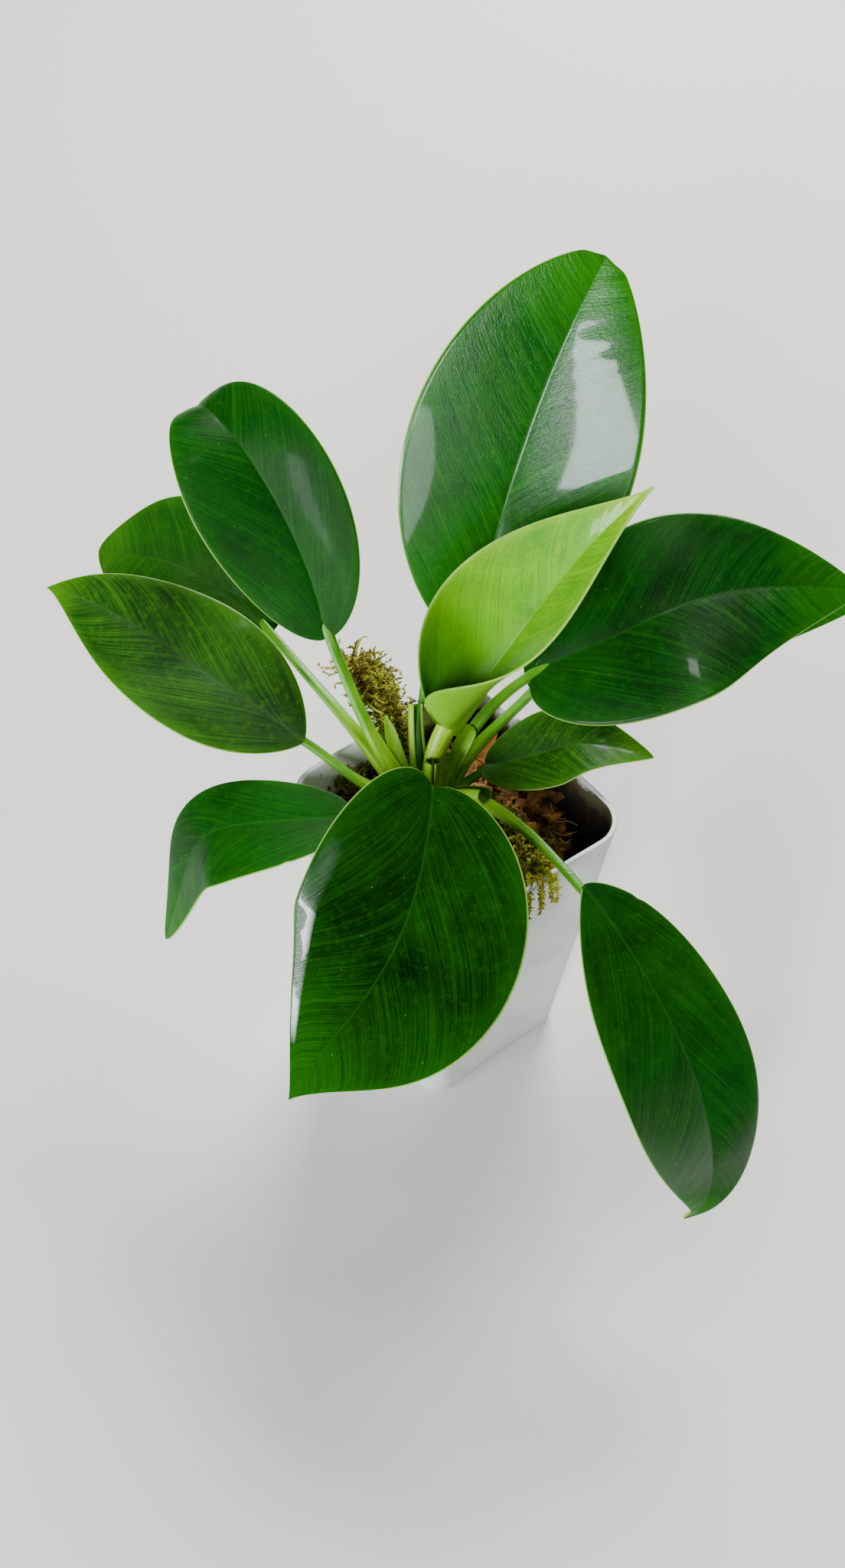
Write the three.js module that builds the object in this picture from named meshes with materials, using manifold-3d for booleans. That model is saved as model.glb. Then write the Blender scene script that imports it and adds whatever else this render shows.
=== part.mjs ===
// Princess philodendron in a square white pot.
// Millimetres, +Z up. The origin is the middle of the pot's underside; -Y faces the viewer.

import * as THREE from 'three';
import Module from 'manifold-3d';
import { mergeVertices } from 'three/addons/utils/BufferGeometryUtils.js';

const wasm = await Module();
wasm.setup();

// Driving dimensions of the pot
const POT_HEIGHT = 122;
const RIM_SIDE = 80;
const BASE_SIDE = 60.5;
const RIM_CORNER = 12;
const BASE_CORNER = 9;
const POT_WALL = 1.8;
const POT_FLOOR = 2.2;
const POT_LIP = 0.5;
const POT_FOOT = 1.2;
const POT_TURN = 38;
const DRAIN_RADIUS = 3;
const DRAIN_DISTANCE = 15;

// Driving dimensions of what fills the pot
const GAP = 0.3;
const SOIL_TOP = 107;
const CORNER_VOID = 37;
const STEM_CENTRE = new THREE.Vector2(-8, 13.5);
const STEM_RADIUS = 9;
const STEM_TOP = 114;
const STEM_FOOT = 84;

// Blade thickness at the margin and along the rib, the mesh steps of a blade and of a stalk, and the gap
// below the foot of a rolled blade
const BLADE_EDGE = 0.7;
const BLADE_RIB = 1.3;
const RIB_SPREAD = 0.14;
const BLADE_ROWS = 15;
const BLADE_COLUMNS = 4;
const STALK_SIDES = 8;
const STALK_STEPS = 10;
const FOOT_GAP = 0.5;

// Colours
const WHITE_POT = 0xe4e5e2;
const BARK = 0x6f4420;
const MOSS = 0x8c8a2e;
const STALK_GREEN = 0x8fbf35;
const DARK_GREEN = 0x0f4f14;
const MID_GREEN = 0x3c7a1c;
const LIME = 0x96c81e;

/*
 A leaf is given by the curve of its rib (base, two handles, tip), the direction its upper face looks at the
 base and at the tip, its greatest half-width and the two exponents of its outline, how much wider its right
 half is, how far its left and right lobes reach back, the angle that its halves fold up at the base and at
 the tip, how far each half then bends on to its margin (left and right, base and tip), up for plus, and
 the height, number and phase of the waves along its margins. A blade rolled to a funnel has the distance
 from its rib to the middle of its foot.
 Left and right are seen on the upper face with the tip up. Its stalk is a curve too, with a thickness at
 the crown and at the blade.
*/
const LEAVES = [
  {
    name: 'leaf_back_tall', colour: DARK_GREEN,
    rib: [[2.3, 49.5, 142.5], [12.5, 57, 176], [16.5, 75, 214.5], [43, 103, 254]],
    face: [[-0.1, -0.9, 0.42], [-0.11, -0.86, 0.5]],
    half: 35.4, outline: [0.85, 0.69], skew: 0, lobe: [0.5, 2.5],
    fold: [16, 8], bend: [[-10, -6], [-10, -6]], ease: 1, wave: [1, 1.5, 0.5],
    stalk: [[-11, 16, 113], [-12.3, 30.5, 129], [-12.9, 45, 135.5]], thick: [3.2, 1.9],
  },
  {
    name: 'leaf_young_funnel', colour: LIME,
    rib: [[-1.4, 23.6, 132.3], [26.6, 40.9, 169.6], [31.5, 36.3, 194.5], [54.2, 38.6, 220.7]],
    face: [[-0.8, -0.46, 0.39], [-0.58, -0.46, 0.67]],
    half: 32, outline: [0.44, 1.35], skew: 0.05, lobe: [0.5, -0.6],
    fold: [30, 11], bend: [[140, 15], [137, 22]], ease: 3.3, wave: [0, 1, 0], roll: 2,
    stalk: [[-6.5, 13.9, 113], [-7.5, 17, 121], [-5.8, 19.8, 127]], thick: [3.7, 3.3],
  },
  {
    name: 'leaf_right_large', colour: DARK_GREEN,
    rib: [[26.2, 40.8, 141.5], [69.9, 49.2, 156.8], [74.3, 60.1, 166.8], [130.9, 60.6, 158.8]],
    face: [[-0.05, -0.52, 0.85], [0.1, -0.45, 0.89]],
    half: 30.9, outline: [0.57, 0.8], skew: 0.02, lobe: [-1, 10],
    fold: [14, 8], bend: [[-12, -8], [-16, -12]], ease: 1, wave: [1.2, 1.5, 2],
    stalk: [[-4, 14.5, 112], [3.5, 24.5, 128.3], [12.9, 35.5, 137]], thick: [3.4, 1.7],
  },
  {
    name: 'leaf_right_hidden', colour: DARK_GREEN,
    rib: [[25.5, 42.5, 129.5], [48, 62, 137], [90, 83, 137], [140, 84, 127]],
    face: [[0, -0.35, 0.93], [0.1, -0.35, 0.93]],
    half: 24, outline: [0.65, 0.85], skew: 0, lobe: [0, 2],
    fold: [12, 8], bend: [[-14, -8], [-12, -8]], ease: 1, wave: [1, 1.5, 1],
    stalk: [[-0.9, 16.1, 110], [4.8, 25.3, 122.5], [17, 31.5, 125.5]], thick: [3.2, 1.7],
  },
  {
    name: 'leaf_right_small', colour: MID_GREEN,
    rib: [[10.7, 20, 117.8], [37.4, 17.4, 125.4], [31.4, 21.5, 135.5], [63.7, 13.9, 129.9]],
    face: [[0, -0.27, 0.96], [0.09, -0.27, 0.96]],
    half: 13.5, outline: [0.58, 0.83], skew: 0, lobe: [1.5, 4],
    fold: [18, 8], bend: [[-8, -8], [-8, -8]], ease: 1, wave: [0.5, 1.5, 0],
    stalk: [[-0.4, 14.5, 109], [3.4, 16.5, 112], [7, 18.4, 114.5]], thick: [2.4, 1.4],
  },
  {
    name: 'leaf_front_drooping', colour: DARK_GREEN,
    rib: [[38.5, -35.5, 128.5], [61, -56.5, 114.5], [91, -100, 76], [76, -105, 50]],
    face: [[0.38, -0.4, 0.84], [0.38, -0.61, 0.69]],
    half: 23.9, outline: [0.83, 0.96], skew: 0.14, lobe: [2.5, 0],
    fold: [16, 8], bend: [[-12, -8], [-12, -8]], ease: 1, wave: [0.8, 2, 1],
    stalk: [[-0.4, 12.9, 110], [15.9, -2.5, 127], [26, -19, 130]], thick: [3.6, 1.5],
  },
  {
    name: 'leaf_front_broad', colour: DARK_GREEN,
    rib: [[-7, -15.5, 149.5], [-10.5, -63.5, 123], [-31, -68.5, 114.5], [-49.5, -84, 84]],
    face: [[0, -0.29, 0.96], [-0.4, -0.51, 0.76]],
    half: 35.9, outline: [0.71, 1.19], skew: -0.06, lobe: [5, 13.5],
    fold: [18, 8], bend: [[-14, -10], [-22, -16]], ease: 1, wave: [1.2, 1.5, 3],
    stalk: [[-8, 11.3, 112], [-7.6, 2.5, 128], [-7.4, -6.5, 141]], thick: [3.2, 1.9],
  },
  {
    name: 'leaf_front_curled', colour: DARK_GREEN,
    rib: [[-31.5, -8.5, 127], [-89, -12, 124], [-78.5, -4.5, 120.5], [-93, -27, 84]],
    face: [[-0.18, -0.13, 0.97], [-0.74, -0.16, 0.66]],
    half: 18.1, outline: [0.37, 0.64], skew: -0.14, lobe: [-3, -1.5],
    fold: [14, 8], bend: [[-10, -10], [-12, -10]], ease: 1, wave: [0.6, 1.5, 1],
    stalk: [[-13, 11.2, 110], [-19, 4.7, 118.7], [-24.5, -1.5, 123]], thick: [2.8, 1.5],
  },
  {
    name: 'leaf_left_mottled', colour: MID_GREEN,
    rib: [[-48, 17.5, 132], [-70.5, 28, 143.5], [-113, 54, 162], [-131.5, 57.5, 159.5]],
    face: [[0.05, -0.27, 0.96], [-0.1, -0.41, 0.91]],
    half: 22.4, outline: [0.88, 1.34], skew: -0.04, lobe: [1, 0.7],
    fold: [16, 8], bend: [[-12, -8], [-12, -8]], ease: 1, wave: [1, 2, 2],
    stalk: [[-13, 12.7, 110], [-29.8, 6.2, 117.6], [-36.5, 13.5, 127]], thick: [2.8, 1.5],
  },
  {
    name: 'leaf_upper_left', colour: DARK_GREEN,
    rib: [[-41.5, 45, 150.5], [-46.8, 67.6, 183.3], [-79.7, 84.3, 223.4], [-84.4, 105, 192.4]],
    face: [[-0.05, -0.74, 0.67], [-0.48, 0.28, 0.88]],
    half: 23.5, outline: [0.66, 0.96], skew: -0.09, lobe: [2.4, 1],
    fold: [14, 19], bend: [[-12, -15], [-20, -21]], ease: 1, wave: [0.8, 1.5, 4],
    stalk: [[-16, 14.3, 112], [-27.4, 21.6, 127.9], [-34.3, 34.5, 140]], thick: [3.2, 1.8],
  },
  {
    name: 'leaf_left_behind', colour: MID_GREEN,
    rib: [[-60.5, 63, 135], [-95, 83, 153], [-93, 79.5, 149], [-121, 89.5, 146]],
    face: [[-0.06, -0.49, 0.87], [-0.22, -0.43, 0.88]],
    half: 24.6, outline: [0.5, 0.63], skew: 0, lobe: [2, 1],
    fold: [14, 8], bend: [[-12, -8], [-12, -8]], ease: 1, wave: [0.8, 1.5, 0],
    stalk: [[-17, 13.8, 111], [-35, 26, 135.5], [-49, 44.5, 133.5]], thick: [3, 1.6],
  },
];

const degrees = (angle) => angle * Math.PI / 180;
const mix = (a, b, t) => a + (b - a) * t;
const vector = (p) => new THREE.Vector3(p[0], p[1], p[2]);
const bezier = (p) => new THREE.CubicBezierCurve3(vector(p[0]), vector(p[1]), vector(p[2]), vector(p[3]));

// A small seeded generator, for the places of chips and lumps
function seeded(seed) {
  let state = seed;
  return () => {
    state = (state * 1664525 + 1013904223) % 4294967296;
    return state / 4294967296;
  };
}

// Joining and cutting closed bodies
function solid(geometry) {
  const bare = geometry.clone();
  bare.deleteAttribute('normal');
  bare.deleteAttribute('uv');
  const merged = mergeVertices(bare, 1e-4);
  return new wasm.Manifold(new wasm.Mesh({
    numProp: 3,
    vertProperties: new Float32Array(merged.attributes.position.array),
    triVerts: new Uint32Array(merged.index.array),
  }));
}

function geometryOf(body) {
  const mesh = body.getMesh();
  const geometry = new THREE.BufferGeometry();
  geometry.setAttribute('position', new THREE.BufferAttribute(mesh.vertProperties, 3));
  geometry.setIndex(new THREE.BufferAttribute(mesh.triVerts, 1));
  return geometry;
}

function joined(bodies) {
  return bodies.reduce((all, body) => all.add(body));
}

// The largest piece of a body that cuts have parted
function largest(body) {
  return body.decompose().sort((a, b) => b.volume() - a.volume())[0];
}

// A closed skin over rings of equal count, each ring a list of points, closed by a fan at both ends or
// as a loop by joining the last ring to the first
function lofted(rings, loop = false) {
  const count = rings[0].length;
  const points = rings.flat();
  const index = [];
  const spans = loop ? rings.length : rings.length - 1;
  for (let r = 0; r < spans; r += 1) {
    const next = (r + 1) % rings.length * count;
    for (let k = 0; k < count; k += 1) {
      const a = r * count + k;
      const b = r * count + (k + 1) % count;
      const c = next + (k + 1) % count;
      const d = next + k;
      index.push(a, b, c, a, c, d);
    }
  }
  if (loop) {
    const ring = new THREE.BufferGeometry().setFromPoints(points);
    ring.setIndex(index);
    return ring;
  }
  const last = (rings.length - 1) * count;
  const centres = [rings[0], rings[rings.length - 1]].map((ring) => ring
    .reduce((sum, p) => sum.add(p), new THREE.Vector3())
    .divideScalar(count));
  points.push(...centres);
  for (let k = 0; k < count; k += 1) {
    const next = (k + 1) % count;
    index.push(points.length - 2, next, k);
    index.push(points.length - 1, last + k, last + next);
  }
  const geometry = new THREE.BufferGeometry().setFromPoints(points);
  geometry.setIndex(index);
  return geometry;
}

// A horizontal square ring with rounded corners, turned as the pot is
function squareRing(side, corner, z) {
  const steps = 6;
  const ring = [];
  for (let quarter = 0; quarter < 4; quarter += 1) {
    const middle = degrees(45 + 90 * quarter);
    const reach = (side / 2 - corner) * Math.SQRT2;
    for (let k = 0; k <= steps; k += 1) {
      const angle = middle + degrees(-45 + 90 * k / steps);
      const x = reach * Math.cos(middle) + corner * Math.cos(angle);
      const y = reach * Math.sin(middle) + corner * Math.sin(angle);
      const turn = degrees(POT_TURN);
      ring.push(new THREE.Vector3(
        x * Math.cos(turn) - y * Math.sin(turn),
        x * Math.sin(turn) + y * Math.cos(turn),
        z,
      ));
    }
  }
  return ring;
}

// The pot's outer side and corner at a height, drawn in by an inset
function potRing(z, inset) {
  const t = z / POT_HEIGHT;
  const corner = Math.max(mix(BASE_CORNER, RIM_CORNER, t) - inset, 2);
  return squareRing(mix(BASE_SIDE, RIM_SIDE, t) - 2 * inset, corner, z);
}

function pot() {
  const shell = solid(lofted([
    potRing(0, POT_FOOT),
    potRing(POT_FOOT, 0),
    potRing(POT_HEIGHT / 2, 0),
    potRing(POT_HEIGHT - POT_LIP, 0),
    potRing(POT_HEIGHT, POT_LIP),
    potRing(POT_HEIGHT, POT_WALL - POT_LIP),
    potRing(POT_HEIGHT - POT_LIP, POT_WALL),
    potRing(POT_HEIGHT / 2, POT_WALL),
    potRing(POT_FLOOR, POT_WALL),
  ]));
  const drains = [0, 90, 180, 270].map((angle) => {
    const drill = new THREE.CylinderGeometry(DRAIN_RADIUS, DRAIN_RADIUS, 4 * POT_FLOOR, 16);
    drill.rotateX(Math.PI / 2);
    drill.translate(
      DRAIN_DISTANCE * Math.cos(degrees(angle)),
      DRAIN_DISTANCE * Math.sin(degrees(angle)),
      0,
    );
    return solid(drill);
  });
  return geometryOf(shell.subtract(joined(drains)));
}

// The pot's wall grown by the gap, to cut what lies over the rim
function wallKeeper() {
  const inside = POT_WALL + GAP;
  return solid(lofted([
    potRing(POT_HEIGHT / 2, -GAP),
    potRing(POT_HEIGHT + GAP, -GAP),
    potRing(POT_HEIGHT + GAP, inside),
    potRing(POT_HEIGHT / 2, inside),
  ], true));
}

// Moss: overlapping round tufts along a path on the soil, and strands that hang over the rim
const MOSSES = [
  {
    name: 'moss_back', count: 28, size: 6.2, spread: 0.8, seed: 7, strands: [],
    path: [[-17, 26, 109], [-19, 32, 114], [-21, 37, 120], [-25, 42, 125], [-29, 46, 128], [-33, 50, 130]],
  },
  {
    name: 'moss_front', count: 14, size: 4.6, spread: 0.6, seed: 8,
    path: [[13, 8, 108], [20, -2, 109], [22, -12, 111], [24, -20, 114], [25, -25, 119]],
    strands: [
      [[22, -20, 115], [24, -30, 129], [23, -37, 114]],
      [[24, -20, 115], [28, -29, 130], [27, -35, 116]],
      [[25, -22, 116], [32, -26, 129], [31, -33, 117]],
    ],
  },
  {
    name: 'moss_left', count: 9, size: 4.4, spread: 0.6, seed: 21, strands: [],
    path: [[-41, 20, 109], [-33, 19, 110], [-26, 13, 109], [-23, 5, 108]],
  },
];
const STRAND_RADIUS = 1;

function moss({ path, count, size, spread, seed, strands }, obstacles) {
  const random = seeded(seed);
  const curve = new THREE.CatmullRomCurve3(path.map(vector));
  const parts = [];
  for (let k = 0; k < count; k += 1) {
    const radius = size * mix(0.75, 1.2, random());
    const tuft = new THREE.SphereGeometry(radius, 7, 5);
    tuft.scale(1, mix(0.7, 1, random()), mix(0.6, 0.9, random()));
    tuft.rotateZ(mix(0, Math.PI, random()));
    const middle = curve.getPoint((k + 0.5) / count);
    middle.x += size * mix(-spread, spread, random());
    middle.y += size * mix(-spread, spread, random());
    tuft.translate(middle.x, middle.y, middle.z);
    parts.push(solid(tuft));
  }
  for (const strand of strands) {
    const line = new THREE.QuadraticBezierCurve3(...strand.map(vector));
    parts.push(solid(stalk(line, [STRAND_RADIUS * 1.3, STRAND_RADIUS])));
  }
  const below = new THREE.BoxGeometry(2 * RIM_SIDE, 2 * RIM_SIDE, SOIL_TOP + GAP);
  below.translate(0, 0, (SOIL_TOP + GAP) / 2);
  return largest(joined(parts).subtract(solid(below)).subtract(obstacles));
}

// Root ball: fills the pot but for the corner at the right, with bark and coco chips on its top
const CHIP_COUNT = 26;
const CHIP_RISE = 0.4;
const CHIP_FIELD = 30;
const STEM_MARGIN = 6;
const FLAKES = [
  { at: [5, 24, 112], size: [2, 1.2, 10], lean: [-0.9, 0.1, -0.55] },
  { at: [13, 34, 112], size: [2.4, 1.2, 7], lean: [-0.7, 0, -0.9] },
];

function nearMoss(x, y, reach) {
  return MOSSES.some(({ path, size }) => new THREE.CatmullRomCurve3(path.map(vector))
    .getPoints(12)
    .some((p) => Math.hypot(p.x - x, p.y - y) < reach + size * 1.7));
}

function rootBall(obstacles) {
  const floor = POT_FLOOR + GAP;
  const bevel = 3;
  const fill = solid(lofted([
    potRing(floor, POT_WALL + bevel),
    potRing(floor + bevel, POT_WALL + GAP),
    potRing(SOIL_TOP - bevel, POT_WALL + GAP),
    potRing(SOIL_TOP, POT_WALL + bevel),
  ]));
  const voidBox = new THREE.BoxGeometry(RIM_SIDE, RIM_SIDE, 2 * POT_HEIGHT);
  voidBox.translate(RIM_SIDE / 2 + CORNER_VOID, 0, 0);
  voidBox.rotateZ(degrees(POT_TURN - 45));
  const random = seeded(11);
  const chips = [];
  while (chips.length < CHIP_COUNT) {
    const x = CHIP_FIELD * mix(-1.3, 1.3, random());
    const y = CHIP_FIELD * mix(-1.3, 1.3, random());
    const size = mix(4, 8, random());
    const chip = new THREE.BoxGeometry(size, size * 0.6, 3);
    chip.rotateX(mix(-0.5, 0.5, random()));
    chip.rotateY(mix(-0.5, 0.5, random()));
    chip.rotateZ(mix(0, Math.PI, random()));
    chip.translate(x, y, SOIL_TOP + CHIP_RISE);
    const fromStem = Math.hypot(x - STEM_CENTRE.x, y - STEM_CENTRE.y);
    const u = x * Math.cos(degrees(POT_TURN)) + y * Math.sin(degrees(POT_TURN));
    const v = y * Math.cos(degrees(POT_TURN)) - x * Math.sin(degrees(POT_TURN));
    const inside = Math.max(Math.abs(u), Math.abs(v)) < CHIP_FIELD;
    if (inside && fromStem > STEM_RADIUS + STEM_MARGIN && !nearMoss(x, y, size * 0.6)) {
      chips.push(solid(chip));
    }
  }
  for (const { at, size, lean } of FLAKES) {
    const flake = new THREE.SphereGeometry(1, 8, 6);
    flake.scale(...size);
    flake.rotateX(lean[0]);
    flake.rotateY(lean[1]);
    flake.rotateZ(lean[2]);
    flake.translate(...at);
    chips.push(solid(flake));
  }
  const depth = POT_HEIGHT - STEM_FOOT;
  const hole = new THREE.CylinderGeometry(STEM_RADIUS + GAP, STEM_RADIUS + GAP, depth, 20);
  hole.rotateX(Math.PI / 2);
  hole.translate(STEM_CENTRE.x, STEM_CENTRE.y, STEM_FOOT - GAP + depth / 2);
  const top = joined(chips).subtract(obstacles);
  return largest(fill.add(top).subtract(solid(voidBox)).subtract(solid(hole)));
}

// A stalk: rings along a curve, thick at its root and thinner at its end, wider than deep if flat is over 1
function stalk(curve, radii, flat = 1, steps = STALK_STEPS) {
  const frames = curve.computeFrenetFrames(steps, false);
  const rings = [];
  for (let i = 0; i <= steps; i += 1) {
    const t = i / steps;
    const centre = curve.getPointAt(t);
    const radius = mix(radii[0], radii[1], 1 - (1 - t) ** 3);
    const ring = [];
    for (let k = 0; k < STALK_SIDES; k += 1) {
      const angle = 2 * Math.PI * k / STALK_SIDES;
      ring.push(centre.clone()
        .addScaledVector(frames.normals[i], radius * Math.cos(angle))
        .addScaledVector(frames.binormals[i], radius * flat * Math.sin(angle)));
    }
    rings.push(ring);
  }
  return lofted(rings);
}

// A point of a leaf's middle surface: t runs from base to tip, s from the left margin -1 to the right +1
function bladePoint(leaf, t, s) {
  const curve = bezier(leaf.rib);
  const along = curve.getTangent(t);
  const face = vector(leaf.face[0]).multiplyScalar(1 - t).addScaledVector(vector(leaf.face[1]), t);
  const up = face.addScaledVector(along, -face.dot(along)).normalize();
  const right = new THREE.Vector3().crossVectors(along, up);
  const side = s < 0 ? 0 : 1;
  const out = Math.abs(s);
  const [baseShape, tipShape] = leaf.outline;
  const widest = baseShape / (baseShape + tipShape);
  const half = leaf.half * (1 + (side ? leaf.skew : -leaf.skew))
    * (t / widest) ** baseShape * ((1 - t) / (1 - widest)) ** tipShape;
  const early = (1 - t) ** leaf.ease;
  const fold = degrees(mix(leaf.fold[1], leaf.fold[0], 1 - t));
  let bend = degrees(mix(leaf.bend[side][1], leaf.bend[side][0], early));
  if (Math.abs(bend) < 1e-3) bend = 1e-3;
  const across = half / bend * (Math.sin(fold + bend * out) - Math.sin(fold));
  const [swell, waves, phase] = leaf.wave;
  const beat = Math.sin(2 * Math.PI * waves * t + phase * (1 + side));
  const ripple = swell * beat * out ** 2 * Math.sin(Math.PI * t);
  const rise = half / bend * (Math.cos(fold) - Math.cos(fold + bend * out)) + ripple;
  const near = Math.sqrt(Math.min(t / 0.4, 1));
  const back = leaf.lobe[side] * 4 * near * (1 - near) * out ** 1.5;
  return curve.getPoint(t)
    .addScaledVector(right, Math.sign(s) * across)
    .addScaledVector(up, rise)
    .addScaledVector(along, -back);
}

// The surface normal there, on the upper side
function bladeNormal(leaf, t, s) {
  const step = 0.01;
  const at = Math.min(Math.max(t, 0.03), 0.97);
  const along = bladePoint(leaf, at + step, s).sub(bladePoint(leaf, at - step, s));
  const across = bladePoint(leaf, at, s + step).sub(bladePoint(leaf, at, s - step));
  return across.cross(along).normalize();
}

// A blade: both faces share one pattern of triangles, and meet at the base and the tip. A skin grows it on
// both faces and past its margins, to keep other bodies clear of it
function blade(leaf, skin = 0) {
  const points = [];
  const index = [];
  const width = 2 * BLADE_COLUMNS + 1;
  const curve = bezier(leaf.rib);
  const margin = 1.5 * skin;
  const rowsAt = [];
  for (let i = 1; i < BLADE_ROWS; i += 1) {
    rowsAt.push(0.5 - 0.5 * Math.cos(Math.PI * (i / BLADE_ROWS) ** 0.92));
  }
  const lay = (t, s) => {
    const middle = bladePoint(leaf, t, s * (1 + margin / leaf.half));
    const normal = bladeNormal(leaf, t, s);
    middle.addScaledVector(curve.getTangent(t), margin * (2 * t - 1));
    const ribbed = Math.exp(-((s / RIB_SPREAD) ** 2)) * (1 - t);
    const thick = mix(BLADE_EDGE, BLADE_RIB, ribbed);
    points.push(middle.clone().addScaledVector(normal, BLADE_EDGE / 2 + skin));
    points.push(middle.addScaledVector(normal, BLADE_EDGE / 2 - thick - skin));
  };
  for (const t of rowsAt) {
    for (let j = 0; j < width; j += 1) {
      const s = j / BLADE_COLUMNS - 1;
      lay(t, Math.sign(s) * Math.abs(s) ** 0.9);
    }
  }
  lay(0, 0);
  lay(1, 0);
  const base = points.length - 4;
  const tip = points.length - 2;
  const at = (i, j) => 2 * (i * width + j);
  const facePair = (a, b, c) => index.push(a, b, c, a + 1, c + 1, b + 1);
  const edge = (a, b) => index.push(a, a + 1, b + 1, a, b + 1, b);
  for (let i = 0; i + 1 < rowsAt.length; i += 1) {
    for (let j = 0; j + 1 < width; j += 1) {
      if (j < BLADE_COLUMNS) {
        facePair(at(i, j), at(i, j + 1), at(i + 1, j + 1));
        facePair(at(i, j), at(i + 1, j + 1), at(i + 1, j));
      } else {
        facePair(at(i, j), at(i, j + 1), at(i + 1, j));
        facePair(at(i, j + 1), at(i + 1, j + 1), at(i + 1, j));
      }
    }
    edge(at(i + 1, 0), at(i, 0));
    edge(at(i, width - 1), at(i + 1, width - 1));
  }
  const lastRow = rowsAt.length - 1;
  for (let j = 0; j + 1 < width; j += 1) {
    facePair(base, at(0, j + 1), at(0, j));
    facePair(tip, at(lastRow, j), at(lastRow, j + 1));
  }
  edge(at(0, 0), base);
  edge(base, at(0, width - 1));
  edge(tip, at(lastRow, 0));
  edge(at(lastRow, width - 1), tip);
  const geometry = new THREE.BufferGeometry().setFromPoints(points);
  geometry.setIndex(index);
  return geometry;
}

// Where a stalk ends: under the rib just past the blade's base, or at the foot of a rolled blade
function stalkEnd(leaf) {
  if (leaf.roll) {
    const along = bezier(leaf.rib).getTangent(0);
    const face = vector(leaf.face[0]);
    const up = face.addScaledVector(along, -face.dot(along)).normalize();
    return vector(leaf.rib[0]).addScaledVector(up, leaf.roll).addScaledVector(along, -FOOT_GAP);
  }
  const t = 0.05;
  const drop = leaf.thick[1] + BLADE_RIB - BLADE_EDGE / 2 + GAP;
  return bladePoint(leaf, t, 0).addScaledVector(bladeNormal(leaf, t, 0), -drop);
}

// Crown: the stem in its hole, the leaf stalks, and the dry and green sheaths between them
const SHEATHS = [
  { path: [[-17, 17, 112], [-20, 24, 122], [-22, 29, 130]], radii: [3.2, 0.8], flat: 1.3 },
  { path: [[-12, 15, 112], [-14, 22, 124], [-14, 27, 135]], radii: [2.2, 0.8], flat: 1.4 },
  { path: [[-7.5, 10.5, 113], [-8, 12.5, 118], [-8, 14.5, 123.5]], radii: [2.6, 2.3], flat: 1 },
  { path: [[-3, 13.5, 112], [1, 20.5, 122], [6, 26, 131]], radii: [4, 2], flat: 1.5 },
  { path: [[2, 9.5, 111], [6, 5.5, 117], [9.5, 3, 121.5]], radii: [3, 1.4], flat: 1.4 },
];

function crown(skin = 0) {
  const stemHeight = STEM_TOP - STEM_FOOT;
  const stem = new THREE.CylinderGeometry(STEM_RADIUS - 1 + skin, STEM_RADIUS - 3 + skin, stemHeight, 16);
  stem.rotateX(Math.PI / 2);
  stem.translate(STEM_CENTRE.x, STEM_CENTRE.y, STEM_FOOT + stemHeight / 2);
  const bodies = [solid(stem)];
  for (const leaf of LEAVES) {
    const end = stalkEnd(leaf);
    const path = [...leaf.stalk, [end.x, end.y, end.z]];
    bodies.push(solid(stalk(bezier(path), leaf.thick.map((radius) => radius + skin))));
  }
  for (const sheath of SHEATHS) {
    const curve = new THREE.QuadraticBezierCurve3(...sheath.path.map(vector));
    bodies.push(solid(stalk(curve, sheath.radii.map((radius) => radius + skin), sheath.flat, 4)));
  }
  return joined(bodies);
}

// Assembly
const group = new THREE.Group();

function place(name, geometry, colour, roughness) {
  const material = new THREE.MeshStandardMaterial({ color: colour, roughness, metalness: 0 });
  const mesh = new THREE.Mesh(geometry, material);
  mesh.name = name;
  group.add(mesh);
}

const bladeKeepers = joined(LEAVES.map((leaf) => solid(blade(leaf, GAP))));
const stalkKeepers = crown(GAP);
const soilKeepers = stalkKeepers.add(bladeKeepers).add(wallKeeper());
const plantCrown = largest(crown().subtract(bladeKeepers));

place('pot', pot(), WHITE_POT, 0.35);
place('root_ball', geometryOf(rootBall(soilKeepers)), BARK, 0.95);
for (const tufts of MOSSES) {
  place(tufts.name, geometryOf(moss(tufts, soilKeepers)), MOSS, 0.9);
}
place('crown_and_stalks', geometryOf(plantCrown), STALK_GREEN, 0.4);
for (const leaf of LEAVES) {
  place(leaf.name, blade(leaf), leaf.colour, 0.3);
}

export default group;
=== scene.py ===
# Princess philodendron in a square white pot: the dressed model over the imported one.
# Lengths are millimetres, as in the part's source, and MM turns them into Blender's metres.

import math
import random

import bpy
import numpy as np
from mathutils import Matrix, Vector


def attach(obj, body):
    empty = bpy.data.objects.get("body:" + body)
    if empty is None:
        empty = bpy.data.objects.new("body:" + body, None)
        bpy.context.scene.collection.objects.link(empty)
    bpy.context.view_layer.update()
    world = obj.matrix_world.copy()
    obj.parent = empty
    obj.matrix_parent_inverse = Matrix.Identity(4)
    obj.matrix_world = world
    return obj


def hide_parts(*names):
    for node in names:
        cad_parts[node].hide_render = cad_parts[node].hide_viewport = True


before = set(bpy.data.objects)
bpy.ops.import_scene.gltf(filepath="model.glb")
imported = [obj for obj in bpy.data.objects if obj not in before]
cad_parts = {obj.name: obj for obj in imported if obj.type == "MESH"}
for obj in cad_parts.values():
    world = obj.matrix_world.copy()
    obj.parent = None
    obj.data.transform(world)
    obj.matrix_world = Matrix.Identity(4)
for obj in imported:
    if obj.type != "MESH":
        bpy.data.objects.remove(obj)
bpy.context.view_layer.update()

MM = 0.001

# Camera: where the photo was taken from, its pitch and roll, and its focal length in photo pixels
EYE = (-10, -294, 509)
PITCH = math.radians(52)
ROLL = math.radians(0.6)
FOCAL_PIXELS = 2000
PHOTO_HEIGHT = 2049
SENSOR = 36

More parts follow.
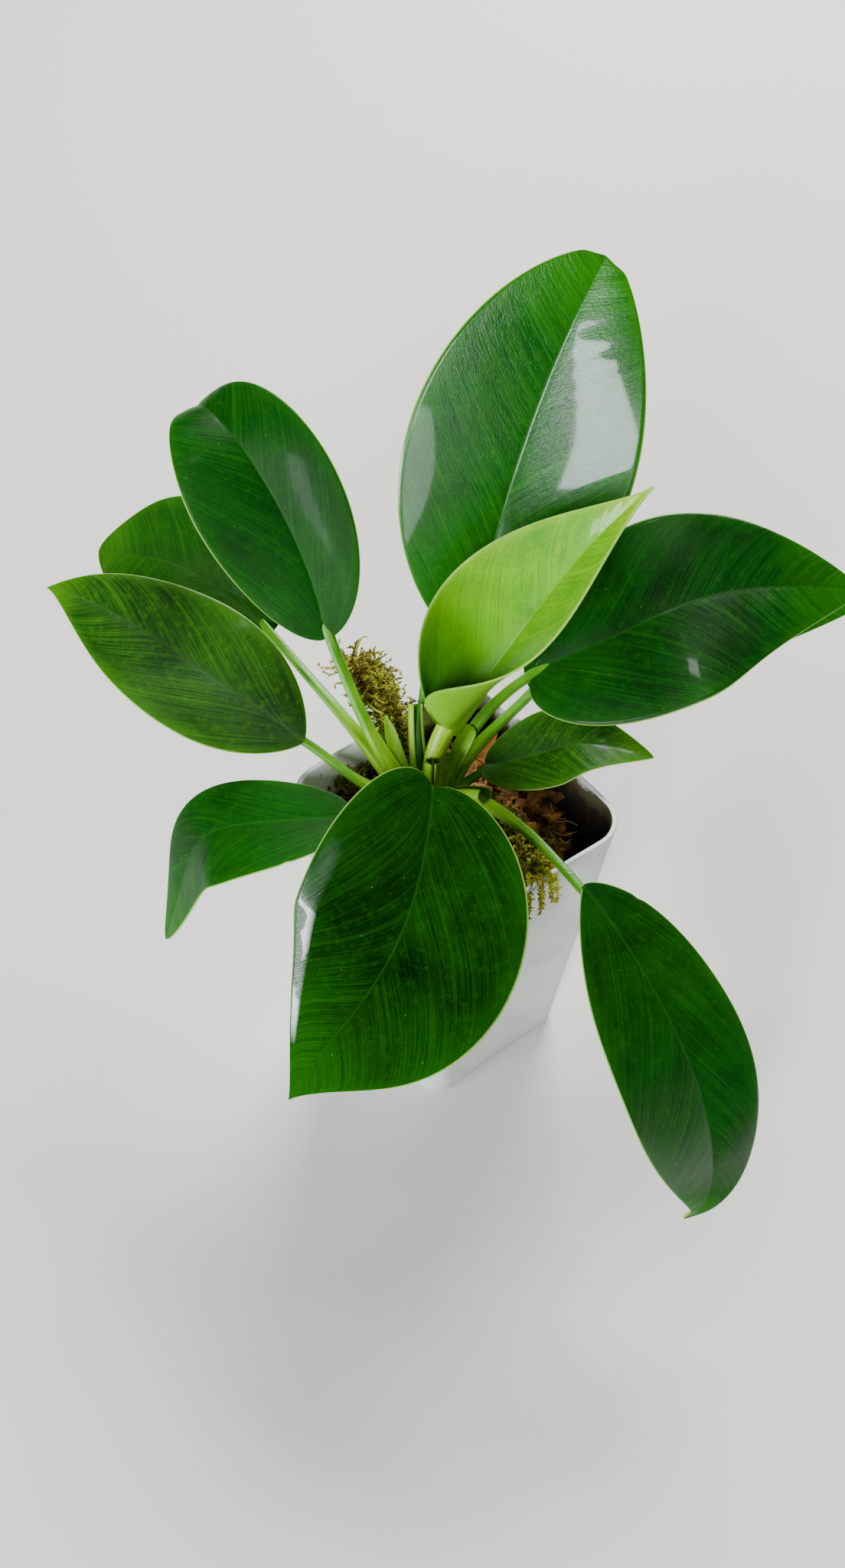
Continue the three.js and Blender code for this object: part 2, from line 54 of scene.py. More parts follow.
# Pot, and mesh steps of its ring: along a corner's arc and along a straight side
POT_HEIGHT = 122
RIM_SIDE = 80
BASE_SIDE = 60.5
RIM_CORNER = 12
BASE_CORNER = 9
POT_WALL = 1.8
POT_FLOOR = 2.2
POT_LIP = 0.5
POT_FOOT = 1.2
POT_TURN = math.radians(38)
DRAIN_RADIUS = 3
DRAIN_DISTANCE = 15
LEAST_CORNER = 1.2
ARC_STEPS = 12
STRAIGHT_STEPS = 10

# What fills the pot; the dark gap is at one corner, and starts that far from the pot's middle
GAP = 0.3
SOIL_TOP = 107
CORNER_VOID = 37
VOID_TURN = POT_TURN - math.radians(45)
VOID_SIDE = np.array([math.cos(VOID_TURN), math.sin(VOID_TURN), 0])
THREAD_FLOOR = SOIL_TOP + 0.2
STEM_CENTRE = (-8, 13.5)
STEM_RADIUS = 9
STEM_FOOT = 84
STEM_TOP = 114

# Blades: thickness and roundness of the margin, and mesh steps along and across
BLADE_EDGE = 0.6
EDGE_ROUND = 0.18
ROWS = 72
COLUMNS = 26

# Relief of the blades: how far the side veins sweep forward, as a share of the blade's length, the pleats
# between them and the groove over the rib. In the veins' map the left half lies far from the right one.
VEIN_SWEEP = 0.5
PLEAT = 8.0
PLEAT_DEPTH = 0.05
GROOVE_DEPTH = 0.13
GROOVE_WIDTH = 0.9
LEFT_HALF = 500

# Leaves as in the part's source: rib curve, upper face at base and tip, greatest half-width, outline
# exponents, right half's extra, lobes, fold and bend angles, margin waves, stalk handles and thickness.
# The kind gives the lower face's paint, and the look the upper face's where it is another.
def leaf_facts(kind="dark", fold=(16, 8), ease=1, skew=0, sheath=0, **facts):
    """What most leaves share goes in where a leaf says nothing else."""
    return dict(facts, kind=kind, fold=fold, ease=ease, skew=skew, sheath=sheath)


LEAVES = {
    "leaf_back_tall": leaf_facts(
        # Its bright look is painted light
        look="bright",
        rib=[(2.3, 49.5, 142.5), (12.5, 57, 176), (16.5, 75, 214.5), (43, 103, 254)],
        face=[(-0.1, -0.9, 0.42), (-0.11, -0.86, 0.5)],
        half=35.4, outline=(0.85, 0.69), lobe=(0.5, 2.5),
        bend=((-10, -6), (-10, -6)), wave=(1, 1.5, 0.5),
        stalk=[(-11, 16, 113), (-12.3, 30.5, 129), (-12.9, 45, 135.5)], thick=(3.2, 1.9),
        hook=(-1.2, -0.6, -1.4)),
    "leaf_young_funnel": leaf_facts(
        kind="lime",
        rib=[(-1.4, 23.6, 132.3), (26.6, 40.9, 169.6), (31.5, 36.3, 194.5), (54.2, 38.6, 220.7)],
        face=[(-0.8, -0.46, 0.39), (-0.58, -0.46, 0.67)],
        half=32, outline=(0.44, 1.35), skew=0.05, lobe=(0.5, -0.6),
        fold=(30, 11), bend=((140, 15), (137, 22)), ease=3.3, wave=(0, 1, 0), roll=2,
        stalk=[(-6.5, 13.9, 113), (-7.5, 17, 121), (-5.8, 19.8, 127)], thick=(3.7, 3.3)),
    "leaf_right_large": leaf_facts(
        rib=[(26.2, 40.8, 141.5), (69.9, 49.2, 156.8), (74.3, 60.1, 166.8), (130.9, 60.6, 158.8)],
        face=[(-0.05, -0.52, 0.85), (0.1, -0.45, 0.89)],
        half=30.9, outline=(0.57, 0.8), skew=0.02, lobe=(-1, 10),
        fold=(14, 8), bend=((-12, -8), (-16, -12)), wave=(1.2, 1.5, 2),
        stalk=[(-4, 14.5, 112), (3.5, 24.5, 128.3), (12.9, 35.5, 137)], thick=(3.4, 1.7), sheath=0.1),
    "leaf_right_hidden": leaf_facts(
        rib=[(25.5, 42.5, 129.5), (48, 62, 137), (90, 83, 137), (140, 84, 127)],
        face=[(0, -0.35, 0.93), (0.1, -0.35, 0.93)],
        half=24, outline=(0.65, 0.85), lobe=(0, 2),
        fold=(12, 8), bend=((-14, -8), (-12, -8)), wave=(1, 1.5, 1),
        stalk=[(-0.9, 16.1, 110), (4.8, 25.3, 122.5), (17, 31.5, 125.5)], thick=(3.2, 1.7), sheath=0.1),
    "leaf_right_small": leaf_facts(
        kind="mid", look="mottled",
        rib=[(10.7, 20, 117.8), (37.4, 17.4, 125.4), (31.4, 21.5, 135.5), (63.7, 13.9, 129.9)],
        face=[(0, -0.27, 0.96), (0.09, -0.27, 0.96)],
        half=13.5, outline=(0.58, 0.83), lobe=(1.5, 4),
        fold=(18, 8), bend=((-8, -8), (-8, -8)), wave=(0.5, 1.5, 0),
        stalk=[(-0.4, 14.5, 109), (3.4, 16.5, 112), (7, 18.4, 114.5)], thick=(2.4, 1.4)),
    "leaf_front_drooping": leaf_facts(
        rib=[(38.5, -35.5, 128.5), (61, -56.5, 114.5), (91, -100, 76), (76, -105, 50)],
        face=[(0.38, -0.4, 0.84), (0.38, -0.61, 0.69)],
        half=23.9, outline=(0.83, 0.96), skew=0.14, lobe=(2.5, 0),
        bend=((-12, -8), (-12, -8)), wave=(0.8, 2, 1),
        stalk=[(-0.4, 12.9, 110), (15.9, -2.5, 127), (26, -19, 130)], thick=(3.6, 1.5), sheath=0.3,
        hook=(-2.6, 0.2, -3.4), nick=(0.13, -1)),
    "leaf_front_broad": leaf_facts(
        # Its deep look is painted shade
        look="deep",
        rib=[(-7, -15.5, 149.5), (-10.5, -63.5, 123), (-31, -68.5, 114.5), (-49.5, -84, 84)],
        face=[(0, -0.29, 0.96), (-0.4, -0.51, 0.76)],
        half=35.9, outline=(0.71, 1.19), skew=-0.06, lobe=(5, 13.5),
        fold=(18, 8), bend=((-14, -10), (-22, -16)), wave=(1.2, 1.5, 3),
        stalk=[(-8, 11.3, 112), (-7.6, 2.5, 128), (-7.4, -6.5, 141)], thick=(3.2, 1.9), sheath=0.4),
    "leaf_front_curled": leaf_facts(
        look="satin",
        rib=[(-31.5, -8.5, 127), (-89, -12, 124), (-78.5, -4.5, 120.5), (-93, -27, 84)],
        face=[(-0.18, -0.13, 0.97), (-0.74, -0.16, 0.66)],
        half=18.1, outline=(0.37, 0.64), skew=-0.14, lobe=(-3, -1.5),
        fold=(14, 8), bend=((-10, -10), (-12, -10)), wave=(0.6, 1.5, 1),
        stalk=[(-13, 11.2, 110), (-19, 4.7, 118.7), (-24.5, -1.5, 123)], thick=(2.8, 1.5), sheath=0.3,
        nick=(0.12, -1)),
    "leaf_left_mottled": leaf_facts(
        kind="mid", look="mottled",
        rib=[(-48, 17.5, 132), (-70.5, 28, 143.5), (-113, 54, 162), (-131.5, 57.5, 159.5)],
        face=[(0.05, -0.27, 0.96), (-0.1, -0.41, 0.91)],
        half=22.4, outline=(0.88, 1.34), skew=-0.04, lobe=(1, 0.7),
        bend=((-12, -8), (-12, -8)), wave=(1, 2, 2),
        stalk=[(-13, 12.7, 110), (-29.8, 6.2, 117.6), (-36.5, 13.5, 127)], thick=(2.8, 1.5), sheath=0.3),
    "leaf_upper_left": leaf_facts(
        look="satin",
        rib=[(-41.5, 45, 150.5), (-46.8, 67.6, 183.3), (-79.7, 84.3, 223.4), (-84.4, 105, 192.4)],
        face=[(-0.05, -0.74, 0.67), (-0.48, 0.28, 0.88)],
        half=23.5, outline=(0.66, 0.96), skew=-0.09, lobe=(2.4, 1),
        fold=(14, 19), bend=((-12, -15), (-20, -21)), wave=(0.8, 1.5, 4),
        stalk=[(-16, 14.3, 112), (-27.4, 21.6, 127.9), (-34.3, 34.5, 140)], thick=(3.2, 1.8), sheath=0.4),
    "leaf_left_behind": leaf_facts(
        kind="mid", look="fresh",
        rib=[(-60.5, 63, 135), (-95, 83, 153), (-93, 79.5, 149), (-121, 89.5, 146)],
        face=[(-0.06, -0.49, 0.87), (-0.22, -0.43, 0.88)],
        half=24.6, outline=(0.5, 0.63), lobe=(2, 1),
        fold=(14, 8), bend=((-12, -8), (-12, -8)), wave=(0.8, 1.5, 0),
        stalk=[(-17, 13.8, 111), (-35, 26, 135.5), (-49, 44.5, 133.5)], thick=(3, 1.6), sheath=0.35),
}


# Curves and small vector sums, on numpy arrays

def unit(v):
    return v / np.linalg.norm(v, axis=-1, keepdims=True)


def bezier(points, t):
    p = np.array(points, float)
    t = np.asarray(t, float)[..., None]
    u = 1 - t
    if len(p) == 3:
        return u * u * p[0] + 2 * u * t * p[1] + t * t * p[2]
    return u ** 3 * p[0] + 3 * u * u * t * p[1] + 3 * u * t * t * p[2] + t ** 3 * p[3]


def bezier_tangent(points, t):
    step = 1e-4
    t = np.asarray(t, float)
    return unit(bezier(points, np.minimum(t + step, 1)) - bezier(points, np.maximum(t - step, 0)))


def smooth(low, high, x):
    k = np.clip((x - low) / (high - low), 0, 1)
    return k * k * (3 - 2 * k)


def turns(sides):
    return np.linspace(0, 2 * math.pi, sides, endpoint=False)


# Meshes

def mesh_piece(name, points, faces, materials, indices=None, uvs=None, tones=None):
    """A piece from points in millimetres; uvs holds one pair per point, tones one number per point."""
    mesh = bpy.data.meshes.new(name)
    mesh.from_pydata((np.asarray(points) * MM).tolist(), [], faces)
    for material in materials:
        mesh.materials.append(material)
    if indices is not None:
        mesh.polygons.foreach_set("material_index", indices)
    for layer, pairs in (uvs or {}).items():
        add_uv(mesh, layer, pairs)
    if tones is not None:
        attribute = mesh.attributes.new("tone", "FLOAT", "POINT")
        attribute.data.foreach_set("value", np.asarray(tones, float))
    mesh.polygons.foreach_set("use_smooth", [True] * len(mesh.polygons))
    mesh.validate()
    mesh.update()
    piece = bpy.data.objects.new(name, mesh)
    bpy.context.scene.collection.objects.link(piece)
    return piece


def add_uv(mesh, layer, pairs):
    corners = np.empty(len(mesh.loops), int)
    mesh.loops.foreach_get("vertex_index", corners)
    uv = mesh.uv_layers.new(name=layer)
    uv.data.foreach_set("uv", pairs[corners].ravel())


class Heap:
    """Gathers many small closed shapes into one mesh."""

    def __init__(self):
        self.points = []
        self.faces = []
        self.tones = []
        self.count = 0

    def add(self, points, faces, tone=0.5):
        points = np.asarray(points, float)
        self.points.append(points)
        self.faces.extend([tuple(i + self.count for i in face) for face in faces])
        self.tones.append(np.broadcast_to(np.asarray(tone, float), (len(points),)))
        self.count += len(points)

    def piece(self, name, materials):
        return mesh_piece(name, np.concatenate(self.points), self.faces, materials,
                          tones=np.concatenate(self.tones))


def ring_faces(rings, sides):
    """Faces between rings of points, and one face over each end."""
    faces = []
    for r in range(rings - 1):
        for k in range(sides):
            a = r * sides + k
            b = r * sides + (k + 1) % sides
            faces.append((a, b, b + sides, a + sides))
    faces.append(tuple(range(sides - 1, -1, -1)))
    faces.append(tuple(range((rings - 1) * sides, rings * sides)))
    return faces


def frames(path, ups):
    """Side and up directions along a path of points."""
    tangent = unit(np.gradient(path, axis=0))
    up = np.broadcast_to(np.asarray(ups, float), path.shape)
    up = unit(up - (up * tangent).sum(-1, keepdims=True) * tangent)
    return np.cross(tangent, up), up


def sweep(heap, path, ups, x, y, tone, shift=0):
    """A closed skin along a path; each row of x and y is the cross-section at one point of it."""
    side, up = frames(path, ups)
    rings = path[:, None] + x[..., None] * side[:, None] + y[..., None] * up[:, None] + shift
    heap.add(rings.reshape(-1, 3), ring_faces(*x.shape), tone)


# Materials: a small helper over the node tree

class Paint:
    """A node material that is put together in a few lines."""

    def __init__(self, name, **values):
        self.material = bpy.data.materials.new(name)
        self.material.use_nodes = True
        self.tree = self.material.node_tree
        self.shader = self.tree.nodes["Principled BSDF"]
        self.coords = self.tree.nodes.new("ShaderNodeTexCoord")
        self.set(**values)

    def feed(self, target, value):
        """Links a socket to an input, or sets the input to a number, a vector or a colour."""
        if isinstance(value, bpy.types.NodeSocket):
            self.tree.links.new(value, target)
        else:
            target.default_value = value

    def set(self, **values):
        for key, value in values.items():
            self.feed(self.shader.inputs[key.replace("_", " ")], value)

    def node(self, kind, **values):
        node = self.tree.nodes.new("ShaderNode" + kind)
        for key, value in values.items():
            self.feed(node.inputs[key], value)
        return node

    def mapped(self, source, scale):
        return self.node("Mapping", Vector=source, Scale=scale).outputs["Vector"]

    def uv(self, layer, x=1, y=1):
        node = self.node("UVMap")
        node.uv_map = layer
        return self.mapped(node.outputs["UV"], (x, y, 1))

    def place(self, scale):
        return self.mapped(self.coords.outputs["Object"], (scale, scale, scale))

    def noise(self, vector, detail=3, rough=0.5, distort=0):
        """Noise from a vector, or from places where the vector is a scale."""
        if isinstance(vector, int):
            vector = self.place(vector)
        return self.node("TexNoise", Vector=vector, Scale=1, Detail=detail, Roughness=rough,
                         Distortion=distort).outputs["Fac"]

    def cells(self, vector):
        return self.node("TexVoronoi", Vector=vector, Scale=1, Randomness=1).outputs["Distance"]

    def ramp(self, source, *stops):
        """Numbers or colours between stops of (position, value)."""
        node = self.node("ValToRGB", Fac=source)
        band = node.color_ramp
        while len(band.elements) < len(stops):
            band.elements.new(0.5)
        for element, (position, value) in zip(band.elements, stops):
            element.position = position
            element.color = (*value, 1) if isinstance(value, tuple) else (value, value, value, 1)
        return node.outputs["Color"]

    def fade(self, source, start, end, low=0, high=1):
        """A number that goes from low to high while the source goes from start to end."""
        return self.ramp(source, (start, low), (end, high))

    def over(self, tint, *layers):
        """A tint with colours laid over it one by one, each as (how much, colour)."""
        for layer in layers:
            node = self.node("Mix")
            node.data_type = "RGBA"
            for index, value in ((0, layer[0]), (6, tint), (7, layer[1])):
                self.feed(node.inputs[index], (*value, 1) if isinstance(value, tuple) else value)
            tint = node.outputs[2]
        return tint

    def math(self, operation, a, b=0.0):
        node = self.node("Math")
        node.operation = operation
        self.feed(node.inputs[0], a)
        self.feed(node.inputs[1], b)
        return node.outputs[0]

    def times(self, a, b):
        return self.math("MULTIPLY", a, b)

    def split(self, vector):
        return self.node("SeparateXYZ", Vector=vector).outputs

    def tone(self):
        """The number that a heap gives to each of its points."""
        node = self.node("Attribute")
        node.attribute_name = "tone"
        return node.outputs["Fac"]

    def bump(self, height, distance):
        """Adds relief to what there is already, its depth in metres."""
        node = self.node("Bump", Height=height, Distance=distance, Strength=1)
        normal = self.shader.inputs["Normal"]
        if normal.is_linked:
            self.feed(node.inputs["Normal"], normal.links[0].from_socket)
        self.feed(normal, node.outputs["Normal"])


MARGIN_COLOUR = (0.34, 0.6, 0.1)
DEEPEST_MOSS = (0.05, 0.05, 0.006)
STAIN = (0.4, 0.3, 0.17)
DIRT = (0.1, 0.08, 0.02)


def leaf_paint(name, colours, gloss, contrast, coat=0.3, base_shade=0.0,
               pebble=0.00005, grain=0.14, keep=None, glow=0.8):
    """Upper face: deep patches, streaks that sweep from the rib to the tip, fine pebbles in the gloss.

    Contrast is how much the streaks show, foot how strong the painted shade at the base is, grain how much
    the streaks dull the gloss and glow where the paler tip starts. Keep has the stops across and along the
    blade between which the gloss is kept.
    """
    deep, body, streak, rib = colours
    paint = Paint(name, Specular_IOR_Level=0.08 + coat * 0.7, Coat_Weight=coat, Coat_Roughness=gloss / 3)
    patches = paint.noise(30, detail=4, rough=0.6)
    wide = paint.noise(paint.uv("veins", 0.3, 0.02))
    fine = paint.noise(paint.uv("veins", 1.7, 0.06), rough=0.65)
    hair = paint.noise(paint.uv("veins", 4.5, 0.12), detail=2)
    mottle = paint.noise(420, detail=2, rough=0.7)
    specks = paint.cells(paint.place(190))
    across, along, _ = paint.split(paint.uv("blade"))
    side = paint.math("ABSOLUTE", paint.math("SUBTRACT", across, 0.5))
    rib_width = paint.math("SUBTRACT", 0.8, paint.times(along, 0.65))
    near_rib = paint.math("DIVIDE", paint.split(paint.uv("veins"))[1], rib_width)
    lines = paint.times(paint.fade(fine, 0.46, 0.7), paint.fade(patches, 0.35, 0.6, 0.25))
    tip = paint.times(paint.fade(along, glow, 0.95, 0, contrast * 1.3), paint.fade(fine, 0.3, 0.6, 0.35))
    tint = paint.over(
        deep,
        (paint.fade(patches, 0.32, 0.7), body),
        (paint.times(paint.fade(wide, 0.5, 0.72), contrast * 0.5), streak),
        (paint.times(lines, contrast), streak),
        (paint.times(paint.fade(hair, 0.55, 0.8), contrast * 0.5), streak),
        (paint.times(paint.fade(mottle, 0.52, 0.68), contrast * 0.3), streak),
        (paint.fade(near_rib, 0.3, 1, 0.25, 0), rib),
        (paint.fade(side, 0.4, 0.496, 0, contrast * 0.45), streak),
        (tip, streak),
        (paint.fade(side, 0.4955, 0.4992, 0, 0.8), MARGIN_COLOUR),
        # Painted shade at the blade's base, as strong as foot
        (paint.fade(along, 0.06, 0.42, base_shade, 0), deep),
        (paint.fade(specks, 0.022, 0.04, 0.4, 0), MARGIN_COLOUR))
    sheen = paint.fade(paint.noise(160), 0.3, 0.75, gloss, gloss + 0.08)
    paint.set(Base_Color=tint, Roughness=paint.math("ADD", sheen, paint.fade(fine, 0.4, 0.65, 0, grain)))
    if keep:
        polish = paint.times(paint.ramp(across, *keep[0]), paint.ramp(along, *keep[1]))
        paint.set(Coat_Weight=paint.times(polish, coat), Specular_IOR_Level=paint.times(polish, coat + 0.05))
    paint.bump(paint.noise(paint.uv("veins", 1.5, 0.7), rough=0.6), pebble)
    paint.bump(paint.noise(1000, detail=2), pebble * 0.6)
    paint.bump(fine, pebble * 0.8)
    return paint.material


def under_paint(name, body, light, rib):
    """Lower face: paler and duller, with the rib and side veins showing through."""
    paint = Paint(name, Specular_IOR_Level=0.4)
    patches = paint.noise(45)
    fine = paint.noise(paint.uv("veins", 1.2, 0.05))
    across = paint.times(paint.split(paint.uv("veins"))[1], 0.4)
    tint = paint.over(
        body,
        (paint.fade(patches, 0.3, 0.7), light),
        (paint.fade(fine, 0.5, 0.75, 0, 0.5), light),
        (paint.fade(across, 0.3, 0.9, 0.8, 0), rib))
    paint.set(Base_Color=tint, Roughness=paint.fade(patches, 0.3, 0.7, 0.4, 0.5))
    paint.bump(fine, 0.0001)
    paint.bump(paint.noise(1400, detail=1), 0.00006)
    return paint.material


def stalk_paint():
    """From dark through fresh to pale green by tone, with fine lines along the stalk."""
    paint = Paint("stalk_green", Specular_IOR_Level=0.35, Coat_Weight=0.12, Coat_Roughness=0.2)
    patches = paint.noise(90)
    lines = paint.noise(paint.uv("skin", 1.4, 0.05))
    spread = paint.fade(patches, 0.35, 0.7)
    dark = paint.over((0.02, 0.12, 0.003), (spread, (0.06, 0.24, 0.006)))
    fresh = paint.over((0.05, 0.24, 0.002), (spread, (0.13, 0.37, 0.005)))
    pale = paint.over((0.32, 0.62, 0.006), (paint.fade(lines, 0.4, 0.7), (0.55, 0.8, 0.04)))
    tone = paint.tone()
    tint = paint.over(dark, (paint.fade(tone, 0.05, 0.5), fresh), (paint.fade(tone, 0.5, 0.95), pale))
    paint.set(Base_Color=tint, Roughness=paint.fade(patches, 0.3, 0.7, 0.28, 0.4))
    paint.bump(lines, 0.00012)
    paint.bump(paint.noise(1600, detail=1), 0.00005)
    return paint.material


def pot_paint():
    """White plastic with faint clouds and brown stains."""
    clouds_low, clouds_high = (0.58, 0.59, 0.57), (0.7, 0.71, 0.69)
    paint = Paint("pot_white", Specular_IOR_Level=0.45)
    clouds = paint.noise(22, detail=4, rough=0.6)
    stains = paint.noise(34, detail=5, rough=0.7, distort=0.6)
    tint = paint.over(
        clouds_low,
        (paint.fade(clouds, 0.3, 0.75), clouds_high),
        (paint.fade(stains, 0.5, 0.72, 0, 0.4), STAIN))
    sheen = paint.noise(70, detail=4)
    paint.set(Base_Color=tint, Roughness=paint.fade(sheen, 0.3, 0.7, 0.3, 0.48))
    paint.bump(paint.noise(30, detail=2), 0.0006)
    paint.bump(paint.noise(900, detail=2), 0.00003)
    return paint.material


def pot_inside_paint():
    """The inner wall: white only near the rim, then brown soil stains, and below them painted shade that
    deepens to black, higher on the side by the gap.
    """
    black, brown, white = (0.012, 0.009, 0.005), (0.09, 0.07, 0.035), (0.8, 0.8, 0.77)
    paint = Paint("pot_inside", Specular_IOR_Level=0.3, Roughness=0.6)
    x, _, z = paint.split(paint.place(1000))
    height = paint.math("SUBTRACT", z, paint.times(x, 0.22))
    ragged = paint.times(paint.noise(150, detail=5, rough=0.7), 14)
    level = paint.math("DIVIDE", paint.math("ADD", height, ragged), 130)
    # Painted shade: black low inside the pot and higher on the +x side by the gap, brown soil stains above
    # it, white near the rim
    dirt_and_shade = paint.ramp(level, (0.86, black), (0.915, brown), (0.95, white))
    crumbs = paint.fade(paint.cells(paint.place(330)), 0.1, 0.2, 0.5, 0)
    paint.set(Base_Color=paint.over(dirt_and_shade, (crumbs, DIRT)))
    return paint.material


def chip_paint():
    """Coco chips from dark to light brown by tone, and yellow threads at the top of the scale."""
    paint = Paint("coco_chips", Specular_IOR_Level=0.25, Roughness=0.85)
    grain = paint.noise(420, detail=5, rough=0.7)
    shade = paint.noise(120)
    tone = paint.tone()
    paint.set(Base_Color=paint.over(
        (0.07, 0.022, 0.005),
        (paint.fade(tone, 0, 1), (0.62, 0.24, 0.04)),
        (paint.fade(grain, 0.35, 0.75, 0, 0.75), (0.56, 0.3, 0.09)),
        (paint.fade(shade, 0.32, 0.52, 0.85, 0), (0.015, 0.007, 0.002)),
        (paint.fade(tone, 0.93, 0.97), (0.5, 0.46, 0.05))))
    paint.bump(grain, 0.0008)
    return paint.material


def moss_paint():
    """Yellow-green by tone, with brown patches and a dark grain."""
    paint = Paint("moss", Specular_IOR_Level=0.2, Roughness=0.8)
    grain = paint.noise(500)
    patches = paint.noise(110)
    paint.set(Base_Color=paint.over(
        (0.03, 0.028, 0.003),
        (paint.fade(paint.tone(), 0, 1), (0.56, 0.56, 0.04)),
        (paint.fade(patches, 0.45, 0.7, 0, 0.65), (0.24, 0.13, 0.02)),
        (paint.fade(grain, 0.3, 0.6, 0.5, 0), DEEPEST_MOSS)))
    paint.bump(grain, 0.0003)
    return paint.material


# Blades

def blade_point(leaf, t, s):
    """A point of the middle surface: t from base to tip, s from the left margin -1 to the right +1."""
    t, s = np.broadcast_arrays(np.asarray(t, float), np.asarray(s, float))
    along = bezier_tangent(leaf["rib"], t)
    face = (1 - t)[..., None] * np.array(leaf["face"][0]) + t[..., None] * np.array(leaf["face"][1])
    up = unit(face - (face * along).sum(-1, keepdims=True) * along)
    right = np.cross(along, up)
    out = np.abs(s)
    is_right = s >= 0
    half = half_width(leaf, t, is_right)
    early = (1 - t) ** leaf["ease"]
    fold = np.radians(leaf["fold"][1] + (leaf["fold"][0] - leaf["fold"][1]) * (1 - t))
    (lb, lt), (rb, rt) = leaf["bend"]
    bend = np.radians(np.where(is_right, rt + (rb - rt) * early, lt + (lb - lt) * early))
    across = half / bend * (np.sin(fold + bend * out) - np.sin(fold))
    swell, waves, phase = leaf["wave"]
    beat = np.sin(2 * math.pi * waves * t + phase * (1 + is_right))
    ripple = swell * beat * out ** 2 * np.sin(math.pi * t)
    rise = half / bend * (np.cos(fold) - np.cos(fold + bend * out)) + ripple
    near = np.sqrt(np.minimum(t / 0.4, 1))
    back = np.where(is_right, leaf["lobe"][1], leaf["lobe"][0]) * 4 * near * (1 - near) * out ** 1.5
    hook = np.array(leaf.get("hook", (0, 0, 0)), float) * smooth(0.975, 1, t)[..., None]
    return (bezier(leaf["rib"], t) + hook + right * (np.sign(s) * across)[..., None]
            + up * rise[..., None] - along * back[..., None])


def half_width(leaf, t, is_right):
    base, tip = leaf["outline"]
    widest = base / (base + tip)
    wide = leaf["half"] * np.where(is_right, 1 + leaf["skew"], 1 - leaf["skew"])
    nick_at, nick_side = leaf.get("nick", (0, 0))
    nick = 0.035 * np.exp(-((t - nick_at) / 0.006) ** 2) * (np.where(is_right, 1, -1) == nick_side)
    return wide * (t / widest) ** base * ((1 - t) / (1 - widest)) ** tip * (1 - nick)


def blade_normal(leaf, t, s):
    step = 0.01
    at = np.clip(t, 0.03, 0.97)
    along = blade_point(leaf, at + step, s) - blade_point(leaf, at - step, s)
    across = blade_point(leaf, at, s + step) - blade_point(leaf, at, s - step)
    return unit(np.cross(across, along))


def rib_length(leaf):
    points = bezier(leaf["rib"], np.linspace(0, 1, 60))
    return np.linalg.norm(np.diff(points, axis=0), axis=1).sum()


def vein_place(leaf, t, s):
    """Where along the rib the vein through a point leaves it, in mm, and the distance from the rib."""
    out = np.abs(s)
    forward = VEIN_SWEEP * out ** 0.85
    start = (t - forward) / (1 - forward)
    distance = out * half_width(leaf, np.clip(t, 0, 1), s >= 0)
    return start * rib_length(leaf), distance


